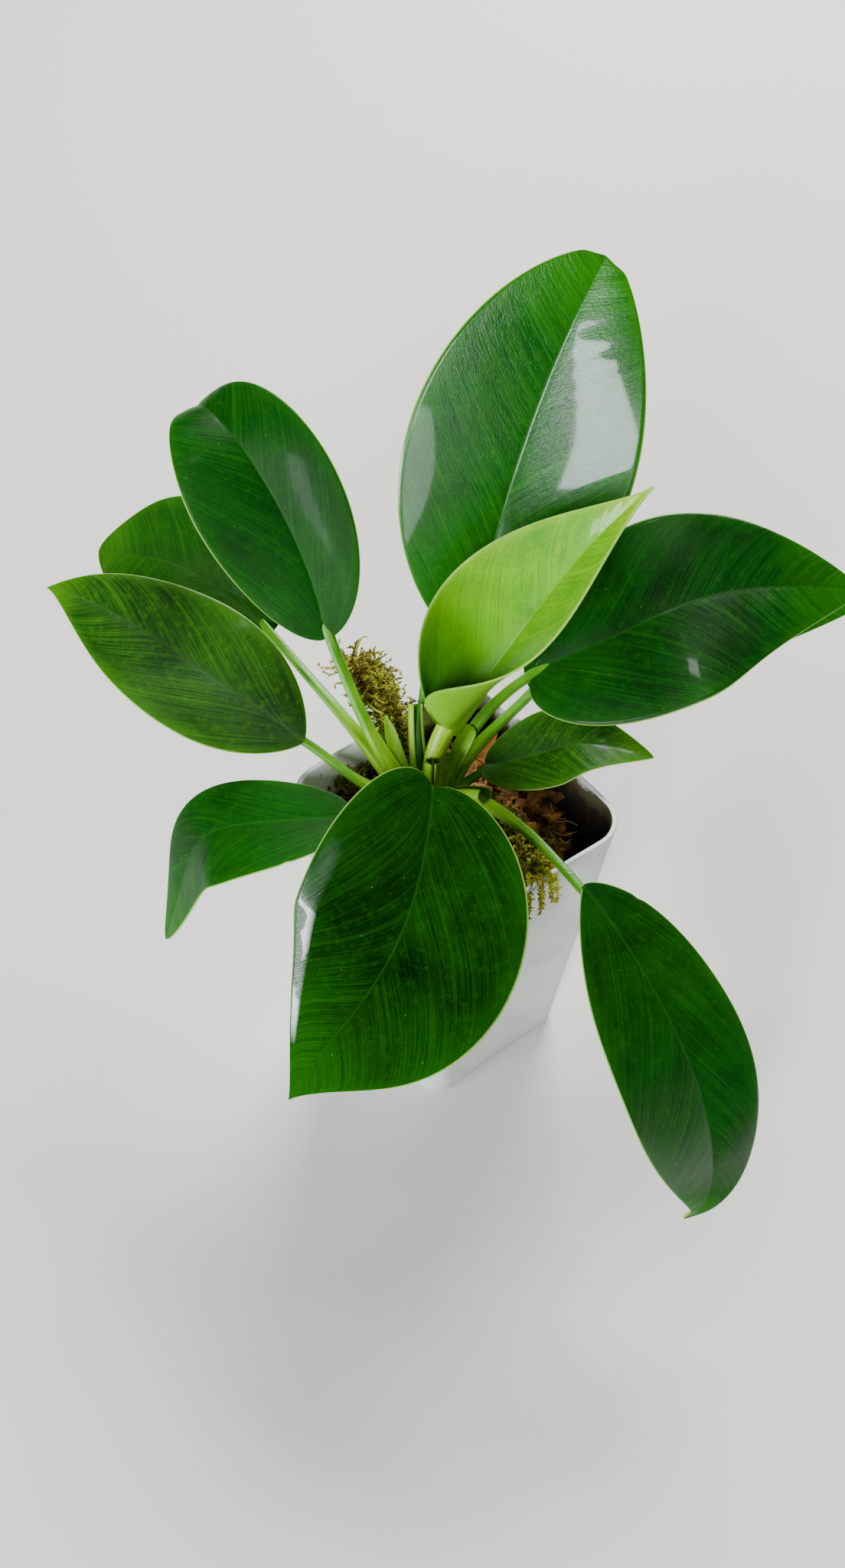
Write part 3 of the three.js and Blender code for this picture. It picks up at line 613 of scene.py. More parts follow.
def blade(name, leaf, materials):
    """Two skins with pleats, a groove and a keeled rib, joined round the margin and at both ends."""
    steps = np.arange(1, ROWS) / ROWS
    t = 0.5 - 0.5 * np.cos(math.pi * steps ** 0.92)
    k = np.arange(-COLUMNS, COLUMNS + 1) / COLUMNS
    s = np.sign(k) * np.abs(k) ** 1.2
    t, s = np.meshgrid(t, s, indexing="ij")
    middle = blade_point(leaf, t, s)
    normal = blade_normal(leaf, t, s)
    start, distance = vein_place(leaf, t, s)
    out = np.abs(s)
    pleats = PLEAT_DEPTH * np.sin(2 * math.pi * start / PLEAT) * 4 * out * (1 - out)
    groove = GROOVE_DEPTH * np.exp(-(distance / GROOVE_WIDTH) ** 2) * (1 - 0.7 * t)
    relief = pleats * smooth(0.02, 0.15, t) - groove
    stout = leaf["thick"][1]
    keel = 0.95 * stout * (1 - t) ** 1.3
    spread = 0.5 + 0.8 * keel
    body = BLADE_EDGE + 0.25 * np.exp(-(distance / 5) ** 2) + keel * np.exp(-(distance / spread) ** 2)
    top = middle + normal * (BLADE_EDGE / 2 + relief)[..., None]
    bottom = middle + normal * (BLADE_EDGE / 2 - body + 0.6 * pleats)[..., None]

    rows, width = t.shape
    edge = [0, -1]
    outward = unit(middle[:, edge] - blade_point(leaf, t[:, edge], s[:, edge] * 0.97))
    rim = (top[:, edge] + bottom[:, edge]) / 2 + outward * EDGE_ROUND
    ends_t = np.array([0.0, 1.0])
    ends_s = np.zeros(2)
    ends = blade_point(leaf, ends_t, ends_s)
    end_normal = blade_normal(leaf, ends_t, ends_s)
    end_top = ends + end_normal * BLADE_EDGE / 2
    end_bottom = ends - end_normal * BLADE_EDGE / 2

    points = np.concatenate([top.reshape(-1, 3), bottom.reshape(-1, 3), rim.reshape(-1, 3),
                             end_top, end_bottom])
    count = rows * width
    rim_at = 2 * count
    base_top, tip_top = rim_at + 2 * rows, rim_at + 2 * rows + 1
    base_low, tip_low = rim_at + 2 * rows + 2, rim_at + 2 * rows + 3
    faces = []
    kinds = []

    def face(kind, *corners):
        faces.append(corners)
        kinds.append(kind)

    for i in range(rows - 1):
        for j in range(width - 1):
            a = i * width + j
            face(0, a, a + 1, a + 1 + width, a + width)
            face(1, count + a, count + a + width, count + a + 1 + width, count + a + 1)
        left, right = i * width, i * width + width - 1
        rl, rr = rim_at + 2 * i, rim_at + 2 * i + 1
        face(0, left, left + width, rl + 2, rl)
        face(0, rl, rl + 2, count + left + width, count + left)
        face(0, right + width, right, rr, rr + 2)
        face(0, rr + 2, rr, count + right, count + right + width)
    last = (rows - 1) * width
    for j in range(width - 1):
        face(0, base_top, j + 1, j)
        face(1, base_low, count + j, count + j + 1)
        face(0, tip_top, last + j, last + j + 1)
        face(1, tip_low, count + last + j + 1, count + last + j)
    end = rim_at + 2 * (rows - 1)
    face(0, base_top, 0, rim_at, count, base_low)
    face(0, base_low, count + width - 1, rim_at + 1, width - 1, base_top)
    face(0, tip_low, count + last, end, last, tip_top)
    face(0, tip_top, last + width - 1, end + 1, count + last + width - 1, tip_low)

    all_t = np.concatenate([t.ravel(), t.ravel(), np.repeat(t[:, 0], 2), ends_t, ends_t])
    all_s = np.concatenate([s.ravel(), s.ravel(), np.tile([-1.0, 1.0], rows), ends_s, ends_s])
    vein_u, vein_v = vein_place(leaf, all_t, all_s)
    vein_u[-4:] = 0
    vein_u += np.where(all_s < 0, LEFT_HALF, 0)
    uvs = {"blade": np.stack([0.5 + 0.5 * all_s, all_t], 1), "veins": np.stack([vein_u, vein_v], 1)}
    return mesh_piece(name, points, faces, materials, indices=kinds, uvs=uvs)


# Crown and stalks

def section(theta, channel, wing):
    """A stalk's cross-section: round below, channelled above, with two thin wings."""
    x = np.cos(theta) * (1 + wing)
    y = np.sin(theta)
    hollow = channel * np.exp(-(np.cos(theta) / 0.5) ** 2) * (y > 0)
    lift = wing * 1.6 * np.abs(np.cos(theta)) ** 3
    return x, y - hollow + lift


def tube(heap, path, radii, ups, channel, wing, tones, sides=22):
    """A stalk along a path; channel, wing and tones hold one number per point of it."""
    x, y = section(turns(sides), channel[:, None], wing[:, None])
    sweep(heap, path, ups, radii[:, None] * x, radii[:, None] * y, np.repeat(tones, sides))


def gutter(heap, path, wide, wall, mouth, ups, tones, ragged, steps=20, arc=18):
    """A thin-walled pipe along a curve, slit open towards ups by an angle, with a ragged end; the inner
    face's darker tone is painted shade inside the pipe.
    """
    rng = random.Random(1)
    t = np.linspace(0, 1, steps)
    radii = wide[0] + (wide[1] - wide[0]) * t
    theta = math.pi / 2 + np.linspace(mouth / 2, 2 * math.pi - mouth / 2, arc)
    jag = np.array([rng.uniform(-ragged, ragged) for _ in theta])
    angles = np.concatenate([theta, theta[::-1]])
    reach = radii[:, None] - wall * (np.arange(2 * arc) >= arc)
    shift = np.zeros((steps, 2 * arc, 3))
    shift[-1] = np.concatenate([jag, jag[::-1]])[:, None] * np.array([0, 0.3, 1])
    # The inner face's darker tone is painted shade inside the pipe; the cut edges keep the outer tone
    outside, inside = tones
    tone = np.tile(np.repeat([outside, inside], arc), steps)
    tone[[0, arc - 1, arc, 2 * arc - 1]] = outside
    sweep(heap, bezier(path, t), ups, reach * np.cos(angles), reach * np.sin(angles), tone, shift)


def stalk_foot(leaf):
    """Where a stalk meets its blade: under the rib, or at the foot of a rolled blade."""
    if "roll" in leaf:
        along = bezier_tangent(leaf["rib"], np.array([0.0]))[0]
        face = np.array(leaf["face"][0])
        up = unit(face - (face @ along) * along)
        return np.array(leaf["rib"][0]) + up * leaf["roll"] + along * 1.5
    normal = blade_normal(leaf, np.array([0.05]), np.array([0.0]))[0]
    return blade_point(leaf, 0.05, 0) - normal * leaf["thick"][1] * 0.85


def stalk_path(leaf, steps=46):
    """The stalk's curve, which runs on under the rib and sinks into it."""
    root, end = leaf["thick"]
    t = np.linspace(0, 1, steps)
    path = bezier([*leaf["stalk"], tuple(stalk_foot(leaf))], t)
    radii = root + (end - root) * (1 - (1 - t) ** 3)
    if "roll" in leaf:
        return path, radii
    on, middle = np.array([0.09, 0.14]), np.zeros(2)
    depth = np.array([[end * 0.6], [end * 0.35]])
    tail = blade_point(leaf, on, middle) - blade_normal(leaf, on, middle) * depth
    return np.concatenate([path, tail]), np.concatenate([radii, [end * 0.7, end * 0.3]])


def crown(material):
    """All stalks with the stem, sheaths and pipes, as one piece."""
    heap = Heap()
    centre = np.array([*STEM_CENTRE, 0])
    for name, leaf in LEAVES.items():
        path, radii = stalk_path(leaf)
        n = len(path)
        t = np.linspace(0, 1, n)
        away = path[n // 2] - centre
        away[2] = 0
        upward = np.array([0, 0, 1.2]) - unit(away) * 0.8
        turn = smooth(0.4, 1, t)[:, None]
        ups = upward * (1 - turn) + np.array(leaf["face"][0]) * turn
        wrap = leaf["sheath"] * (1 - smooth(0.2, 0.45, t))
        channel = 0.22 + 0.5 * wrap
        tones = 0.66 - 0.3 * smooth(0.2, 0.9, t) + 0.06 * np.sin(9 * t)
        if leaf["kind"] == "lime":
            tones = np.full(n, 1.0)
            channel = channel * 0
        # Inside its channelled foot the tall leaf's stalk is thinner and dark: painted shade inside the pipe
        if name == "leaf_back_tall":
            radii = radii * (0.55 + 0.45 * smooth(0.45, 0.6, t))
            tones = tones * smooth(0.3, 0.6, t)
        tube(heap, path, radii, ups, channel, wrap * 0.35, tones)
    stem(heap)
    for sheath in SHEATHS:
        sheath_blade(heap, **sheath)
    for pipe in GUTTERS:
        gutter(heap, **pipe)
    piece = heap.piece("crown_dressed", [material])
    skin_uv(piece)
    return piece


def skin_uv(piece):
    """A map in millimetres round and along the stalks, near enough for fine lines."""
    places = np.empty(len(piece.data.vertices) * 3)
    piece.data.vertices.foreach_get("co", places)
    places = places.reshape(-1, 3) / MM
    x, y = places[:, 0] - STEM_CENTRE[0], places[:, 1] - STEM_CENTRE[1]
    flat = np.hypot(x, y)
    add_uv(piece.data, "skin", np.stack([np.arctan2(y, x) * np.maximum(flat, 8), places[:, 2] + flat], 1))


def stem(heap):
    """The short thick stem, with a ring where each old leaf sat."""
    rings, sides = 26, 32
    share = np.linspace(0, 1, rings)[:, None]
    swell = 0.35 * np.abs(np.sin(math.pi * np.arange(rings) / 5))[:, None]
    radius = (5.9 + 1.9 * share + swell) * np.sqrt(np.maximum(1 - share ** 10, 0.12))
    points = np.stack(np.broadcast_arrays(STEM_CENTRE[0] + radius * np.cos(turns(sides)),
                                          STEM_CENTRE[1] + radius * np.sin(turns(sides)),
                                          STEM_FOOT + (STEM_TOP - STEM_FOOT) * share), -1)
    heap.add(points.reshape(-1, 3), ring_faces(rings, sides), 0.55)


# Sheaths: a curve, its half-width at the root and before the tip, how deep it is cupped, where it starts to
# round off to its tip, and its tone
SHEATHS = [
    dict(path=[(-16, 16, 112), (-19.5, 23.5, 122), (-22.3, 29.5, 131)], wide=(3.2, 1.6), cup=0.5,
         ups=(0.2, -0.6, 1), point=0.6, tone=0.72),
    dict(path=[(-3.5, 13.5, 113), (1.5, 19, 122.5), (5.5, 25.5, 131)], wide=(2.2, 3.4), cup=0.2,
         ups=(-0.5, -0.5, 0.8), point=0.9, tone=0.6),
]

# Thin-walled pipes: the channelled foot of the tall leaf's stalk, the cut hollow stub, and the curled
# sheath of the drooping leaf's stalk, which is slit towards ups. Tones are those of the outer and inner
# face; the darker inner ones are painted shade inside the pipes.
GUTTERS = [
    dict(path=[(-10.5, 14.5, 112), (-12.3, 24.5, 122), (-12.6, 34, 131.5)], wide=(3.1, 2.4), wall=0.9,
         mouth=math.radians(70), ups=(0.35, -0.6, 0.7), tones=(0.8, 0.1), ragged=0),
    dict(path=[(-7.2, 9.5, 114), (-7.3, 11.5, 120), (-6.9, 14, 126.5)], wide=(2.6, 2.45), wall=0.55,
         mouth=math.radians(14), ups=(0.2, -0.9, 0.3), tones=(0.75, 0.05), ragged=0.5),
    dict(path=[(-1, 11.5, 112), (4, 7.5, 119), (9.8, 2.4, 124)], wide=(2.4, 2.9), wall=0.5,
         mouth=math.radians(60), ups=(-0.2, 0.6, 0.8), tones=(0.8, 0.45), ragged=0.1),
]


def sheath_blade(heap, path, wide, cup, ups, tone, point=0.55, steps=22, sides=18):
    """A thin cupped blade that narrows to a rounded point."""
    t = np.linspace(0, 1, steps)
    half = (wide[0] + (wide[1] - wide[0]) * t) * np.sqrt(np.clip(1 - smooth(point, 1.02, t) ** 2, 0.004, 1))
    half = half[:, None]
    theta = turns(sides)
    x = half * np.cos(theta)
    y = 0.42 * np.sin(theta) * np.minimum(1, half) + cup * x * x / np.maximum(half, 0.3)
    sweep(heap, bezier(path, t), ups, x, y, tone)


# Pot

def pot_ring(z, inset):
    """Points round the pot at a height, that far inside its outer face."""
    t = z / POT_HEIGHT
    side = BASE_SIDE + (RIM_SIDE - BASE_SIDE) * t - 2 * inset
    corner = max(BASE_CORNER + (RIM_CORNER - BASE_CORNER) * t - inset, LEAST_CORNER)
    reach = (side / 2 - corner) * math.sqrt(2)
    quarters = np.radians(45 + 90 * np.arange(4))[:, None] + POT_TURN
    angles = quarters + np.radians(np.linspace(-45, 45, ARC_STEPS + 1))
    arcs = np.stack([reach * np.cos(quarters) + corner * np.cos(angles),
                     reach * np.sin(quarters) + corner * np.sin(angles), np.full(angles.shape, z)], -1)
    ends = arcs[:, -1:]
    shares = np.arange(1, STRAIGHT_STEPS)[:, None] / STRAIGHT_STEPS
    straights = ends + (np.roll(arcs, -1, axis=0)[:, :1] - ends) * shares
    return np.concatenate([arcs, straights], axis=1).reshape(-1, 3)


def buckle(ring):
    """The thin wall isn't quite flat: slow waves that grow towards the rim."""
    t = ring[0][2] / POT_HEIGHT
    points = []
    for x, y, z in ring:
        turn = math.atan2(y, x)
        give = 0.45 * t ** 2 * math.sin(3 * turn + 0.7) + 0.25 * t ** 2 * math.sin(7 * turn + 2)
        scale = 1 + give / max(math.hypot(x, y), 1)
        points.append((x * scale, y * scale, z + 0.3 * t ** 8 * math.sin(5 * turn)))
    return points


def pot(outside, inside):
    """The pot as rings of (height, inset), up the outside, over the rim and down the inside."""
    outer = [(0, POT_FOOT), (POT_FOOT * 0.35, POT_FOOT * 0.3)]
    outer += [(z, 0) for z in (POT_FOOT, 10, 25, 45, 65, 85, 100, 112, 118, POT_HEIGHT - POT_LIP)]
    rim = [(POT_HEIGHT - 0.15, 0.15), (POT_HEIGHT, POT_LIP),
           (POT_HEIGHT, POT_WALL - POT_LIP), (POT_HEIGHT - 0.15, POT_WALL - 0.15)]
    inner = [(z, POT_WALL) for z in (POT_HEIGHT - POT_LIP, 118, 112, 104, 90, 60, 30, POT_FLOOR + 1)]
    inner.append((POT_FLOOR, POT_WALL + 1))
    rings = [buckle(pot_ring(z, inset)) for z, inset in outer + rim + inner]
    sides = len(rings[0])
    faces = ring_faces(len(rings), sides)
    inside_from = (len(outer) + 3) * sides
    kinds = [int(min(face) >= inside_from) for face in faces]
    piece = mesh_piece("pot_dressed", np.concatenate(rings), faces, [outside, inside], indices=kinds)
    for angle in (0, math.pi / 2, math.pi, 3 * math.pi / 2):
        drill(piece, DRAIN_DISTANCE * math.cos(angle), DRAIN_DISTANCE * math.sin(angle))
    return piece


def drill(piece, x, y):
    bpy.ops.mesh.primitive_cylinder_add(vertices=40, radius=DRAIN_RADIUS * MM, depth=4 * POT_FLOOR * MM,
                                        location=(x * MM, y * MM, 0))
    cutter = bpy.context.object
    cut = piece.modifiers.new("drain", "BOOLEAN")
    cut.operation = "DIFFERENCE"
    cut.object = cutter
    bpy.context.view_layer.objects.active = piece
    bpy.ops.object.modifier_apply(modifier=cut.name)
    bpy.data.objects.remove(cutter, do_unlink=True)


# Soil and moss

def gauss(rng, x=1, y=1, z=1):
    """Three random numbers round zero, of these spreads."""
    return np.array([rng.gauss(0, x), rng.gauss(0, y), rng.gauss(0, z)])


def shade(rng, middle, spread, most=1):
    """A random tone from 0 to the most."""
    return min(max(rng.gauss(middle, spread), 0), most)


def turned(points, rng):
    """Points turned by a random rotation."""
    axis = Vector((rng.uniform(-1, 1), rng.uniform(-1, 1), rng.uniform(-1, 1)))
    matrix = np.array(Matrix.Rotation(rng.uniform(0, math.pi), 3, axis.normalized()))
    return points @ matrix.T


def in_pot(x, y, inset, z=SOIL_TOP):
    """Whether a place is further from the wall's inner face than the inset, at that height."""
    u = x * math.cos(POT_TURN) + y * math.sin(POT_TURN)
    v = y * math.cos(POT_TURN) - x * math.sin(POT_TURN)
    side = (BASE_SIDE + (RIM_SIDE - BASE_SIDE) * z / POT_HEIGHT) / 2 - POT_WALL
    return max(abs(u), abs(v)) < side - inset and abs(u) + abs(v) < 2 * side - inset - 8


def on_soil(x, y, inset):
    """Whether a place is that far inside the wall, and short of the gap at the corner."""
    return in_pot(x, y, inset) and x * VOID_SIDE[0] + y * VOID_SIDE[1] <= CORNER_VOID - 1


CHIP_CORNERS = [(x, y, z) for z in (-1, 1) for x, y in ((-1, -1), (1, -1), (1, 1), (-1, 1))]
CHIP_FACES = [(0, 1, 2, 3), (7, 6, 5, 4), (0, 4, 5, 1), (1, 5, 6, 2), (2, 6, 7, 3), (3, 7, 4, 0)]


def chip(rng, size):
    """A splintered block: a box whose corners are pushed about."""
    long, wide, deep = size, size * rng.uniform(0.35, 0.75), size * rng.uniform(0.2, 0.45)
    return np.array([[x * long / 2 * rng.uniform(0.7, 1.1), y * wide / 2 * rng.uniform(0.7, 1.1),
                      z * deep / 2 * rng.uniform(0.6, 1.1)] for x, y, z in CHIP_CORNERS])


def strand(heap, start, heading, length, radius, rng, tone, steps=7, curl=0.5):
    """A curly thread of three sides that stays above the bark; gives back its line."""
    point = np.array(start, float)
    heading = unit(np.array(heading, float))
    path = [point]
    for _ in range(steps):
        heading = unit(heading + gauss(rng, curl, curl, curl * 0.7))
        point = point + heading * length / steps
        point[2] = max(point[2], THREAD_FLOOR)
        path.append(point)
    path = np.array(path)
    theta = np.array([0, 2.1, 4.2])
    radii = radius * (1 - 0.6 * np.linspace(0, 1, len(path)))[:, None]
    sweep(heap, path, (0.3, 0.2, 1), radii * np.cos(theta), radii * np.sin(theta), tone)
    return path


def thread(heap, line, start, end, ups, tone):
    """A smooth thread along a line, with its radius at both ends."""
    flat = np.zeros(len(line))
    tube(heap, line, np.linspace(start, end, len(line)), ups, flat, flat, flat + tone, sides=6)


def scale_leaf(heap, at, out, size, tone):
    """One tiny moss leaf: a thin closed wedge."""
    out = unit(out)
    across = unit(np.cross(out, (0.2, 0.1, 1)))
    lift = np.cross(across, out)
    points = [at - across * size * 0.28, at + across * size * 0.28, at + out * size,
              at + out * size * 0.4 + lift * size * 0.16]
    heap.add(points, [(0, 1, 2), (0, 3, 1), (1, 3, 2), (2, 3, 0)], tone)


# Mounds of moss: number of sprigs and curls, size, how far they rise, and the line that they grow from
MOSSES = {
    "moss_back": dict(count=420, size=6.8, seed=7, rise=0.5, curls=26, path=[
        (-17, 26, 109), (-19, 32, 114), (-21, 37, 120), (-25, 42, 125), (-29, 46, 128), (-33, 50, 130)]),
    "moss_front": dict(count=190, size=4.6, seed=8, rise=0.3, curls=60, path=[
        (13, 8, 108), (20, -2, 109), (22, -12, 111), (24, -20, 114), (25, -25, 119)]),
    "moss_left": dict(count=130, size=4.4, seed=21, rise=0.3, curls=24, path=[
        (-41, 20, 109), (-33, 19, 110), (-26, 13, 109), (-23, 5, 108)]),
}
# Strands that hang over the rim, each made three times over with a little wander
HANGING = [
    [(22, -20, 115), (24, -30, 128.5), (23, -37, 115)],
    [(24, -20, 115), (28, -29, 129), (27, -35.5, 117)],
    [(25, -22, 116), (32, -26, 128.5), (31, -33, 118)],
]


def path_points(path, count):
    path = np.array(path, float)
    at = np.linspace(0, len(path) - 1, count)
    index = np.minimum(at.astype(int), len(path) - 2)
    return path[index] + (path[index + 1] - path[index]) * (at - index)[:, None]


def outward(rng, rise, least):
    """A random direction that points up by that much at least."""
    out = gauss(rng)
    out[2] = abs(out[2]) * rise + least
    return unit(out)


def sprig(heap, centre, size, rise, rng):
    """A curly thread with three tiny leaves at every step."""
    out = outward(rng, rise, 0.1)
    start = centre + out * size * rng.uniform(0.2, 0.85)
    start[2] = max(start[2], THREAD_FLOOR)
    tone = shade(rng, 0.45 + 0.2 * out[2], 0.22)
    line = strand(heap, start, out + np.array([0, 0, 0.2]), size * rng.uniform(0.7, 1.4), 0.28, rng, tone)
    for at, ahead in zip(line, np.diff(line, axis=0)):
        for _ in range(3):
            side = gauss(rng)
            scale_leaf(heap, at + ahead * rng.random(), side + unit(ahead) * 0.8,
                       rng.uniform(0.9, 1.9), tone + rng.uniform(-0.2, 0.2))


def hang(heap, route, rng):
    """A strand over the rim, with four tiny leaves at every step."""
    wander = gauss(rng, 0.8, 0.8, 0.5)
    line = bezier([np.array(p) + wander for p in route], np.linspace(0, 1, 18))
    thread(heap, line, 0.7, 0.3, (1, 0, 0.1), 0.95)
    for at in line:
        for _ in range(4):
            scale_leaf(heap, at, gauss(rng), rng.uniform(1.1, 2.2), rng.uniform(0.75, 1))


def curl(heap, centre, size, rng):
    """A bare stout thread that bends twice."""
    start = centre + outward(rng, 1, 0.4) * size * 0.7
    bend = (gauss(rng, 1, 1, 0.5) + np.array([0, 0, 0.3])) * 3.2
    turn = (gauss(rng, 1, 1, 0.5) - np.array([0, 0, 0.3])) * 3.2
    line = bezier([start, start + bend, start + bend + turn, start + 1.3 * turn], np.linspace(0, 1, 12))
    line[:, 2] = np.maximum(line[:, 2], SOIL_TOP + 0.6)
    thread(heap, line, 0.55, 0.25, (0.3, 0.2, 1), rng.uniform(0.55, 1))


def moss(name, count, size, seed, rise, curls, path, material):
    """A mound of sprigs and curls over dark lumps of painted shade; the front one also hangs over the rim."""
    rng = random.Random(seed)
    heap = Heap()
    centres = path_points(path, 40)
    for _ in range(count):
        sprig(heap, centres[rng.randrange(len(centres))], size, rise, rng)
    if name == "moss_front":
        for route in HANGING:
            for _ in range(3):
                hang(heap, route, rng)
    for _ in range(curls):
        curl(heap, centres[rng.randrange(len(centres) // 6, len(centres))], size, rng)
    painted_shade_core(heap, centres, size, rng)
    return heap.piece(name + "_dressed", [material])


def painted_shade_core(heap, centres, size, rng):
    """Dark lumps under the strands, painted shade inside the mound, so that no gap shows through."""
    for centre in centres[::2]:
        radius = size * rng.uniform(0.6, 0.8)
        points, faces = ball(radius, 10, 7)
        points = points * np.array([1, rng.uniform(0.8, 1), rng.uniform(0.7, 0.9)])
        points = turned(points, rng) + centre
        points[:, 2] = np.maximum(points[:, 2], SOIL_TOP + 0.1)
        heap.add(points, faces, 0.12)


def ball(radius, sides, rings):
    tilt = math.pi * np.arange(1, rings)[:, None] / rings
    theta = turns(sides)
    belts = np.stack(np.broadcast_arrays(np.sin(tilt) * np.cos(theta), np.sin(tilt) * np.sin(theta),
                                         -np.cos(tilt)), -1)
    points = radius * np.concatenate([[(0, 0, -1)], belts.reshape(-1, 3), [(0, 0, 1)]])
    last = 1 + (rings - 2) * sides
    faces = []
    for k in range(sides):
        beside = (k + 1) % sides
        faces.append((0, 1 + beside, 1 + k))
        faces.append((len(points) - 1, last + k, last + beside))
        for a in range(1, last, sides):
            faces.append((a + k, a + beside, a + sides + beside, a + sides + k))
    return points, faces


# How often a chip or a thread is tried on top of the bark, and a chip on its face towards the gap
TOP_CHIPS = 900
TOP_THREADS = 420
FACE_CHIPS = 260


def soil(material):
    """The root ball, with chips and threads on it and the brown sheaths."""
    rng = random.Random(31)
    heap = Heap()
    profile = [(POT_FLOOR + GAP, POT_WALL + 3), (POT_FLOOR + 3, POT_WALL + GAP), (60, POT_WALL + GAP),
               (SOIL_TOP - 3, POT_WALL + GAP), (SOIL_TOP - 1, POT_WALL + 2.5)]
    rings = [pot_ring(z, inset) for z, inset in profile]
    points = np.concatenate(rings)
    past = np.maximum(points @ VOID_SIDE - CORNER_VOID + 0.6, 0)
    heap.add(points - past[:, None] * VOID_SIDE, ring_faces(len(rings), len(rings[0])), 0.1)
    for _ in range(TOP_CHIPS):
        x, y = rng.uniform(-50, 50), rng.uniform(-50, 50)
        away = math.hypot(x - STEM_CENTRE[0], y - STEM_CENTRE[1])
        if not on_soil(x, y, 2) or away < STEM_RADIUS - 2:
            continue
        block = chip(rng, rng.choice((2, 3, 3, 4, 5, 6, 8)))
        tilt = Matrix.Rotation(rng.gauss(0, 0.45), 3, "X") @ Matrix.Rotation(rng.uniform(0, 6.3), 3, "Z")
        spot = np.array([x, y, SOIL_TOP - 0.8 + rng.uniform(-0.8, 1.4)])
        heap.add(block @ np.array(tilt).T + spot, CHIP_FACES, shade(rng, 0.5, 0.28, 0.9))
    for _ in range(TOP_THREADS):
        x, y = rng.uniform(-46, 40), rng.uniform(-46, 46)
        if not on_soil(x, y, 5):
            continue
        heading = (rng.gauss(0, 1), rng.gauss(0, 1), 0.25)
        strand(heap, (x, y, THREAD_FLOOR + rng.uniform(0, 1.2)), heading, rng.uniform(4, 11), 0.22, rng,
               rng.choice((0.4, 0.8, 1, 1)), curl=0.45)
    for _ in range(FACE_CHIPS):
        z = rng.uniform(30, SOIL_TOP - 3)
        spot = np.array([rng.uniform(10, 50), rng.uniform(-40, 40), 0.0])
        spot = spot + VOID_SIDE * (CORNER_VOID - 0.4 - spot @ VOID_SIDE)
        size = rng.uniform(2, 6)
        if in_pot(spot[0], spot[1], 0.8 * size, z):
            block = turned(chip(rng, size), rng)
            heap.add(block + spot + np.array([0, 0, z]), CHIP_FACES, shade(rng, 0.35, 0.2))
    for flake in FLAKES:
        sheath_blade(heap, **flake)
    return heap.piece("root_ball_dressed", [material])


# Dry brown sheaths that lean out of the bark
FLAKES = [
    dict(path=[(0.5, 20, 108), (5.5, 26, 112), (9.5, 31, 117.5)], wide=(2.4, 1.7), cup=0.5,
         ups=(-0.4, -0.6, 1), tone=0.95),
    dict(path=[(9, 29, 108), (12.5, 33.5, 112), (15, 37.5, 116.5)], wide=(2.2, 1.6), cup=0.5,
         ups=(-0.4, -0.6, 1), tone=0.85),
]


# Making the pieces

def dress(piece, slot, *nodes):
    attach(piece, "root")
    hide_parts(*nodes)


# Upper faces: the colour of the deepest patches, the body, the streaks and the rib, then the gloss
TOPS = {
    "dark": dict(
        colours=((0.0003, 0.018, 0.0003), (0.0008, 0.056, 0.0005), (0.014, 0.15, 0.0006),
                 (0.016, 0.15, 0.002)),
        gloss=0.2, contrast=0.5,
        keep=([(0, 1), (1, 1)], [(0.3, 0.2), (0.55, 1), (0.78, 1), (0.88, 0.2)])),
    # A darker copy of the dark look: painted shade on the broad front leaf
    "deep": dict(
        colours=((0.0001, 0.006, 0.0001), (0.0005, 0.032, 0.0003), (0.011, 0.125, 0.0005),
                 (0.014, 0.13, 0.002)),
        gloss=0.15, contrast=0.5, coat=0.4, glow=0.55,
        keep=([(0.88, 0), (0.92, 1)], [(0.2, 0), (0.34, 1), (0.76, 1), (0.86, 0)])),
    "satin": dict(
        colours=((0.0003, 0.022, 0.0003), (0.001, 0.06, 0.0005), (0.016, 0.16, 0.0006), (0.02, 0.16, 0.002)),
        gloss=0.34, contrast=0.5, coat=0.03),
    # Lighter colours than the dark look: painted light on the tall leaf
    "bright": dict(
        colours=((0.0005, 0.038, 0.0003), (0.0012, 0.085, 0.0004), (0.022, 0.21, 0.0006), (0.05, 0.3, 0.003)),
        gloss=0.16, contrast=0.65, pebble=0.00008, grain=0.06),
    "mottled": dict(
        colours=((0.0008, 0.022, 0.0004), (0.004, 0.064, 0.0006), (0.06, 0.23, 0.0015), (0.05, 0.2, 0.004)),
        gloss=0.34, contrast=0.72, coat=0.08),
    "fresh": dict(
        colours=((0.002, 0.04, 0.001), (0.01, 0.085, 0.0015), (0.035, 0.16, 0.003), (0.05, 0.19, 0.006)),
        gloss=0.36, contrast=0.5, coat=0.05),
    # The lime look's foot is painted shade in the base of the rolled young leaf
    "lime": dict(
        colours=((0.035, 0.22, 0.0004), (0.12, 0.4, 0.0003), (0.34, 0.6, 0.001), (0.45, 0.74, 0.02)),
        gloss=0.16, contrast=0.65, coat=0.12, base_shade=0.85, pebble=0.00011, grain=0.05),
}
# Lower faces: the body's colour, its lighter patches and the rib
UNDERS = {
    "dark": ((0.02, 0.12, 0.01), (0.05, 0.19, 0.02), (0.14, 0.34, 0.03)),
    "mid": ((0.035, 0.17, 0.012), (0.08, 0.26, 0.025), (0.18, 0.4, 0.04)),
    "lime": ((0.13, 0.36, 0.006), (0.24, 0.52, 0.015), (0.36, 0.64, 0.04)),
}
tops = {look: leaf_paint("leaf_" + look + "_top", **facts) for look, facts in TOPS.items()}
unders = {kind: under_paint("leaf_" + kind + "_under", *colours) for kind, colours in UNDERS.items()}

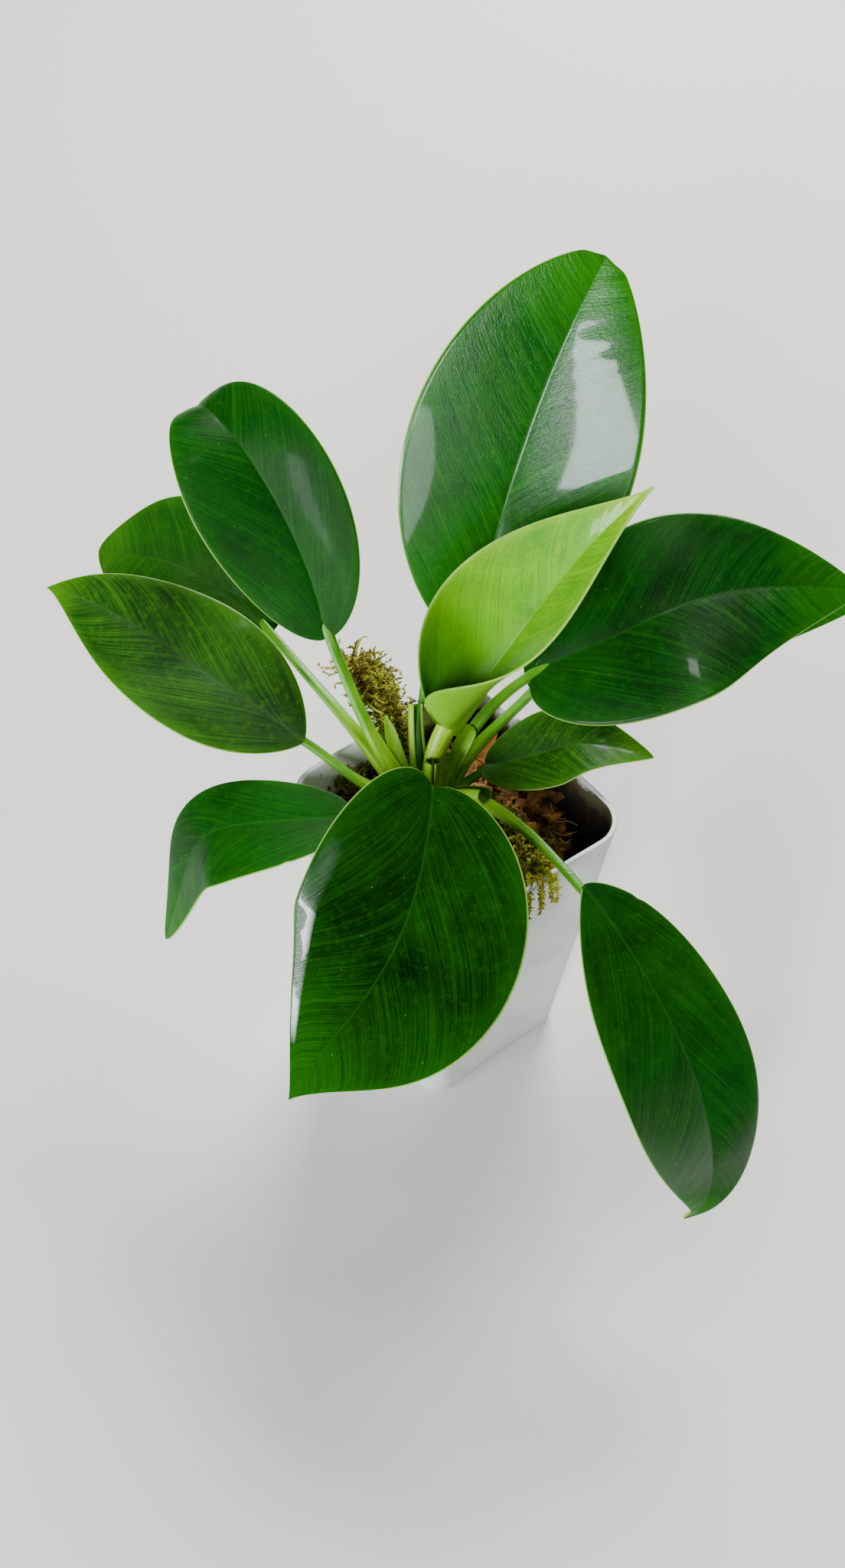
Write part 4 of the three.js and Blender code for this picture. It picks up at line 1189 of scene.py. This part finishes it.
for leaf_name, leaf_data in LEAVES.items():
    leaf_kind = leaf_data["kind"]
    paints = (tops[leaf_data.get("look", leaf_kind)], unders[leaf_kind])
    dress(blade(leaf_name + "_dressed", leaf_data, paints), "leaf_" + leaf_kind, leaf_name)

dress(crown(stalk_paint()), "stalks", "crown_and_stalks")
dress(pot(pot_paint(), pot_inside_paint()), "pot", "pot")
dress(soil(chip_paint()), "root_ball", "root_ball")
moss_material = moss_paint()
for moss_name, facts in MOSSES.items():
    dress(moss(moss_name, material=moss_material, **facts), "moss", moss_name)


# Stage, camera and lights

def stage():
    bpy.ops.mesh.primitive_plane_add(size=6, location=(0, 0, 0))
    floor = bpy.context.object
    floor.name = "floor"
    paint = Paint("floor_pale", Base_Color=(0.72, 0.7, 0.67, 1), Roughness=0.85, Specular_IOR_Level=0.2)
    floor.data.materials.append(paint.material)
    world = bpy.data.worlds.new("studio")
    bpy.context.scene.world = world
    world.use_nodes = True
    background = world.node_tree.nodes["Background"]
    background.inputs["Color"].default_value = (0.86, 0.9, 0.95, 1)
    background.inputs["Strength"].default_value = 0.07


# Lights: place and size in metres, power in watts, and colour. The windows stand where the photo's
# highlights are mirrored, and all lights face the middle of the plant.
MIDDLE = (0, 0.02, 0.14)
DAYLIGHT = (0.9, 0.96, 1)
WHITE = (1, 1, 1)
LIGHTS = {
    "window": ((-0.39, -1.14, 0.88), (0.22, 0.62), 19, DAYLIGHT),
    "side_window": ((-1.19, -0.7, 0.29), (0.42, 0.26), 20, DAYLIGHT),
    "low_window": ((-0.21, -1.45, 0.47), (0.22, 0.4), 3.5, DAYLIGHT),
    "top": ((-0.03, -0.3, 1.6), (0.12, 0.12), 1, WHITE),
    "back": ((0.3, 1.13, 1.25), (0.7, 0.7), 54, WHITE),
}


def light(name, place, size, power, colour):
    data = bpy.data.lights.new(name, "AREA")
    data.shape = "RECTANGLE"
    data.size, data.size_y = size
    data.energy = power
    data.color = colour
    lamp = bpy.data.objects.new(name, data)
    lamp.location = place
    lamp.rotation_euler = (Vector(MIDDLE) - Vector(place)).to_track_quat("-Z", "Y").to_euler()
    bpy.context.scene.collection.objects.link(lamp)


def camera():
    data = bpy.data.cameras.new("camera")
    data.sensor_fit = "AUTO"
    data.sensor_width = SENSOR
    data.lens = SENSOR * FOCAL_PIXELS / PHOTO_HEIGHT
    data.clip_start = 0.01
    eye = bpy.data.objects.new("camera", data)
    eye.matrix_world = (Matrix.Translation(Vector(EYE) * MM)
                        @ Matrix.Rotation(math.pi / 2 - PITCH, 4, "X") @ Matrix.Rotation(ROLL, 4, "Z"))
    bpy.context.scene.collection.objects.link(eye)
    bpy.context.scene.camera = eye


stage()
camera()
for light_name, light_facts in LIGHTS.items():
    light(light_name, *light_facts)
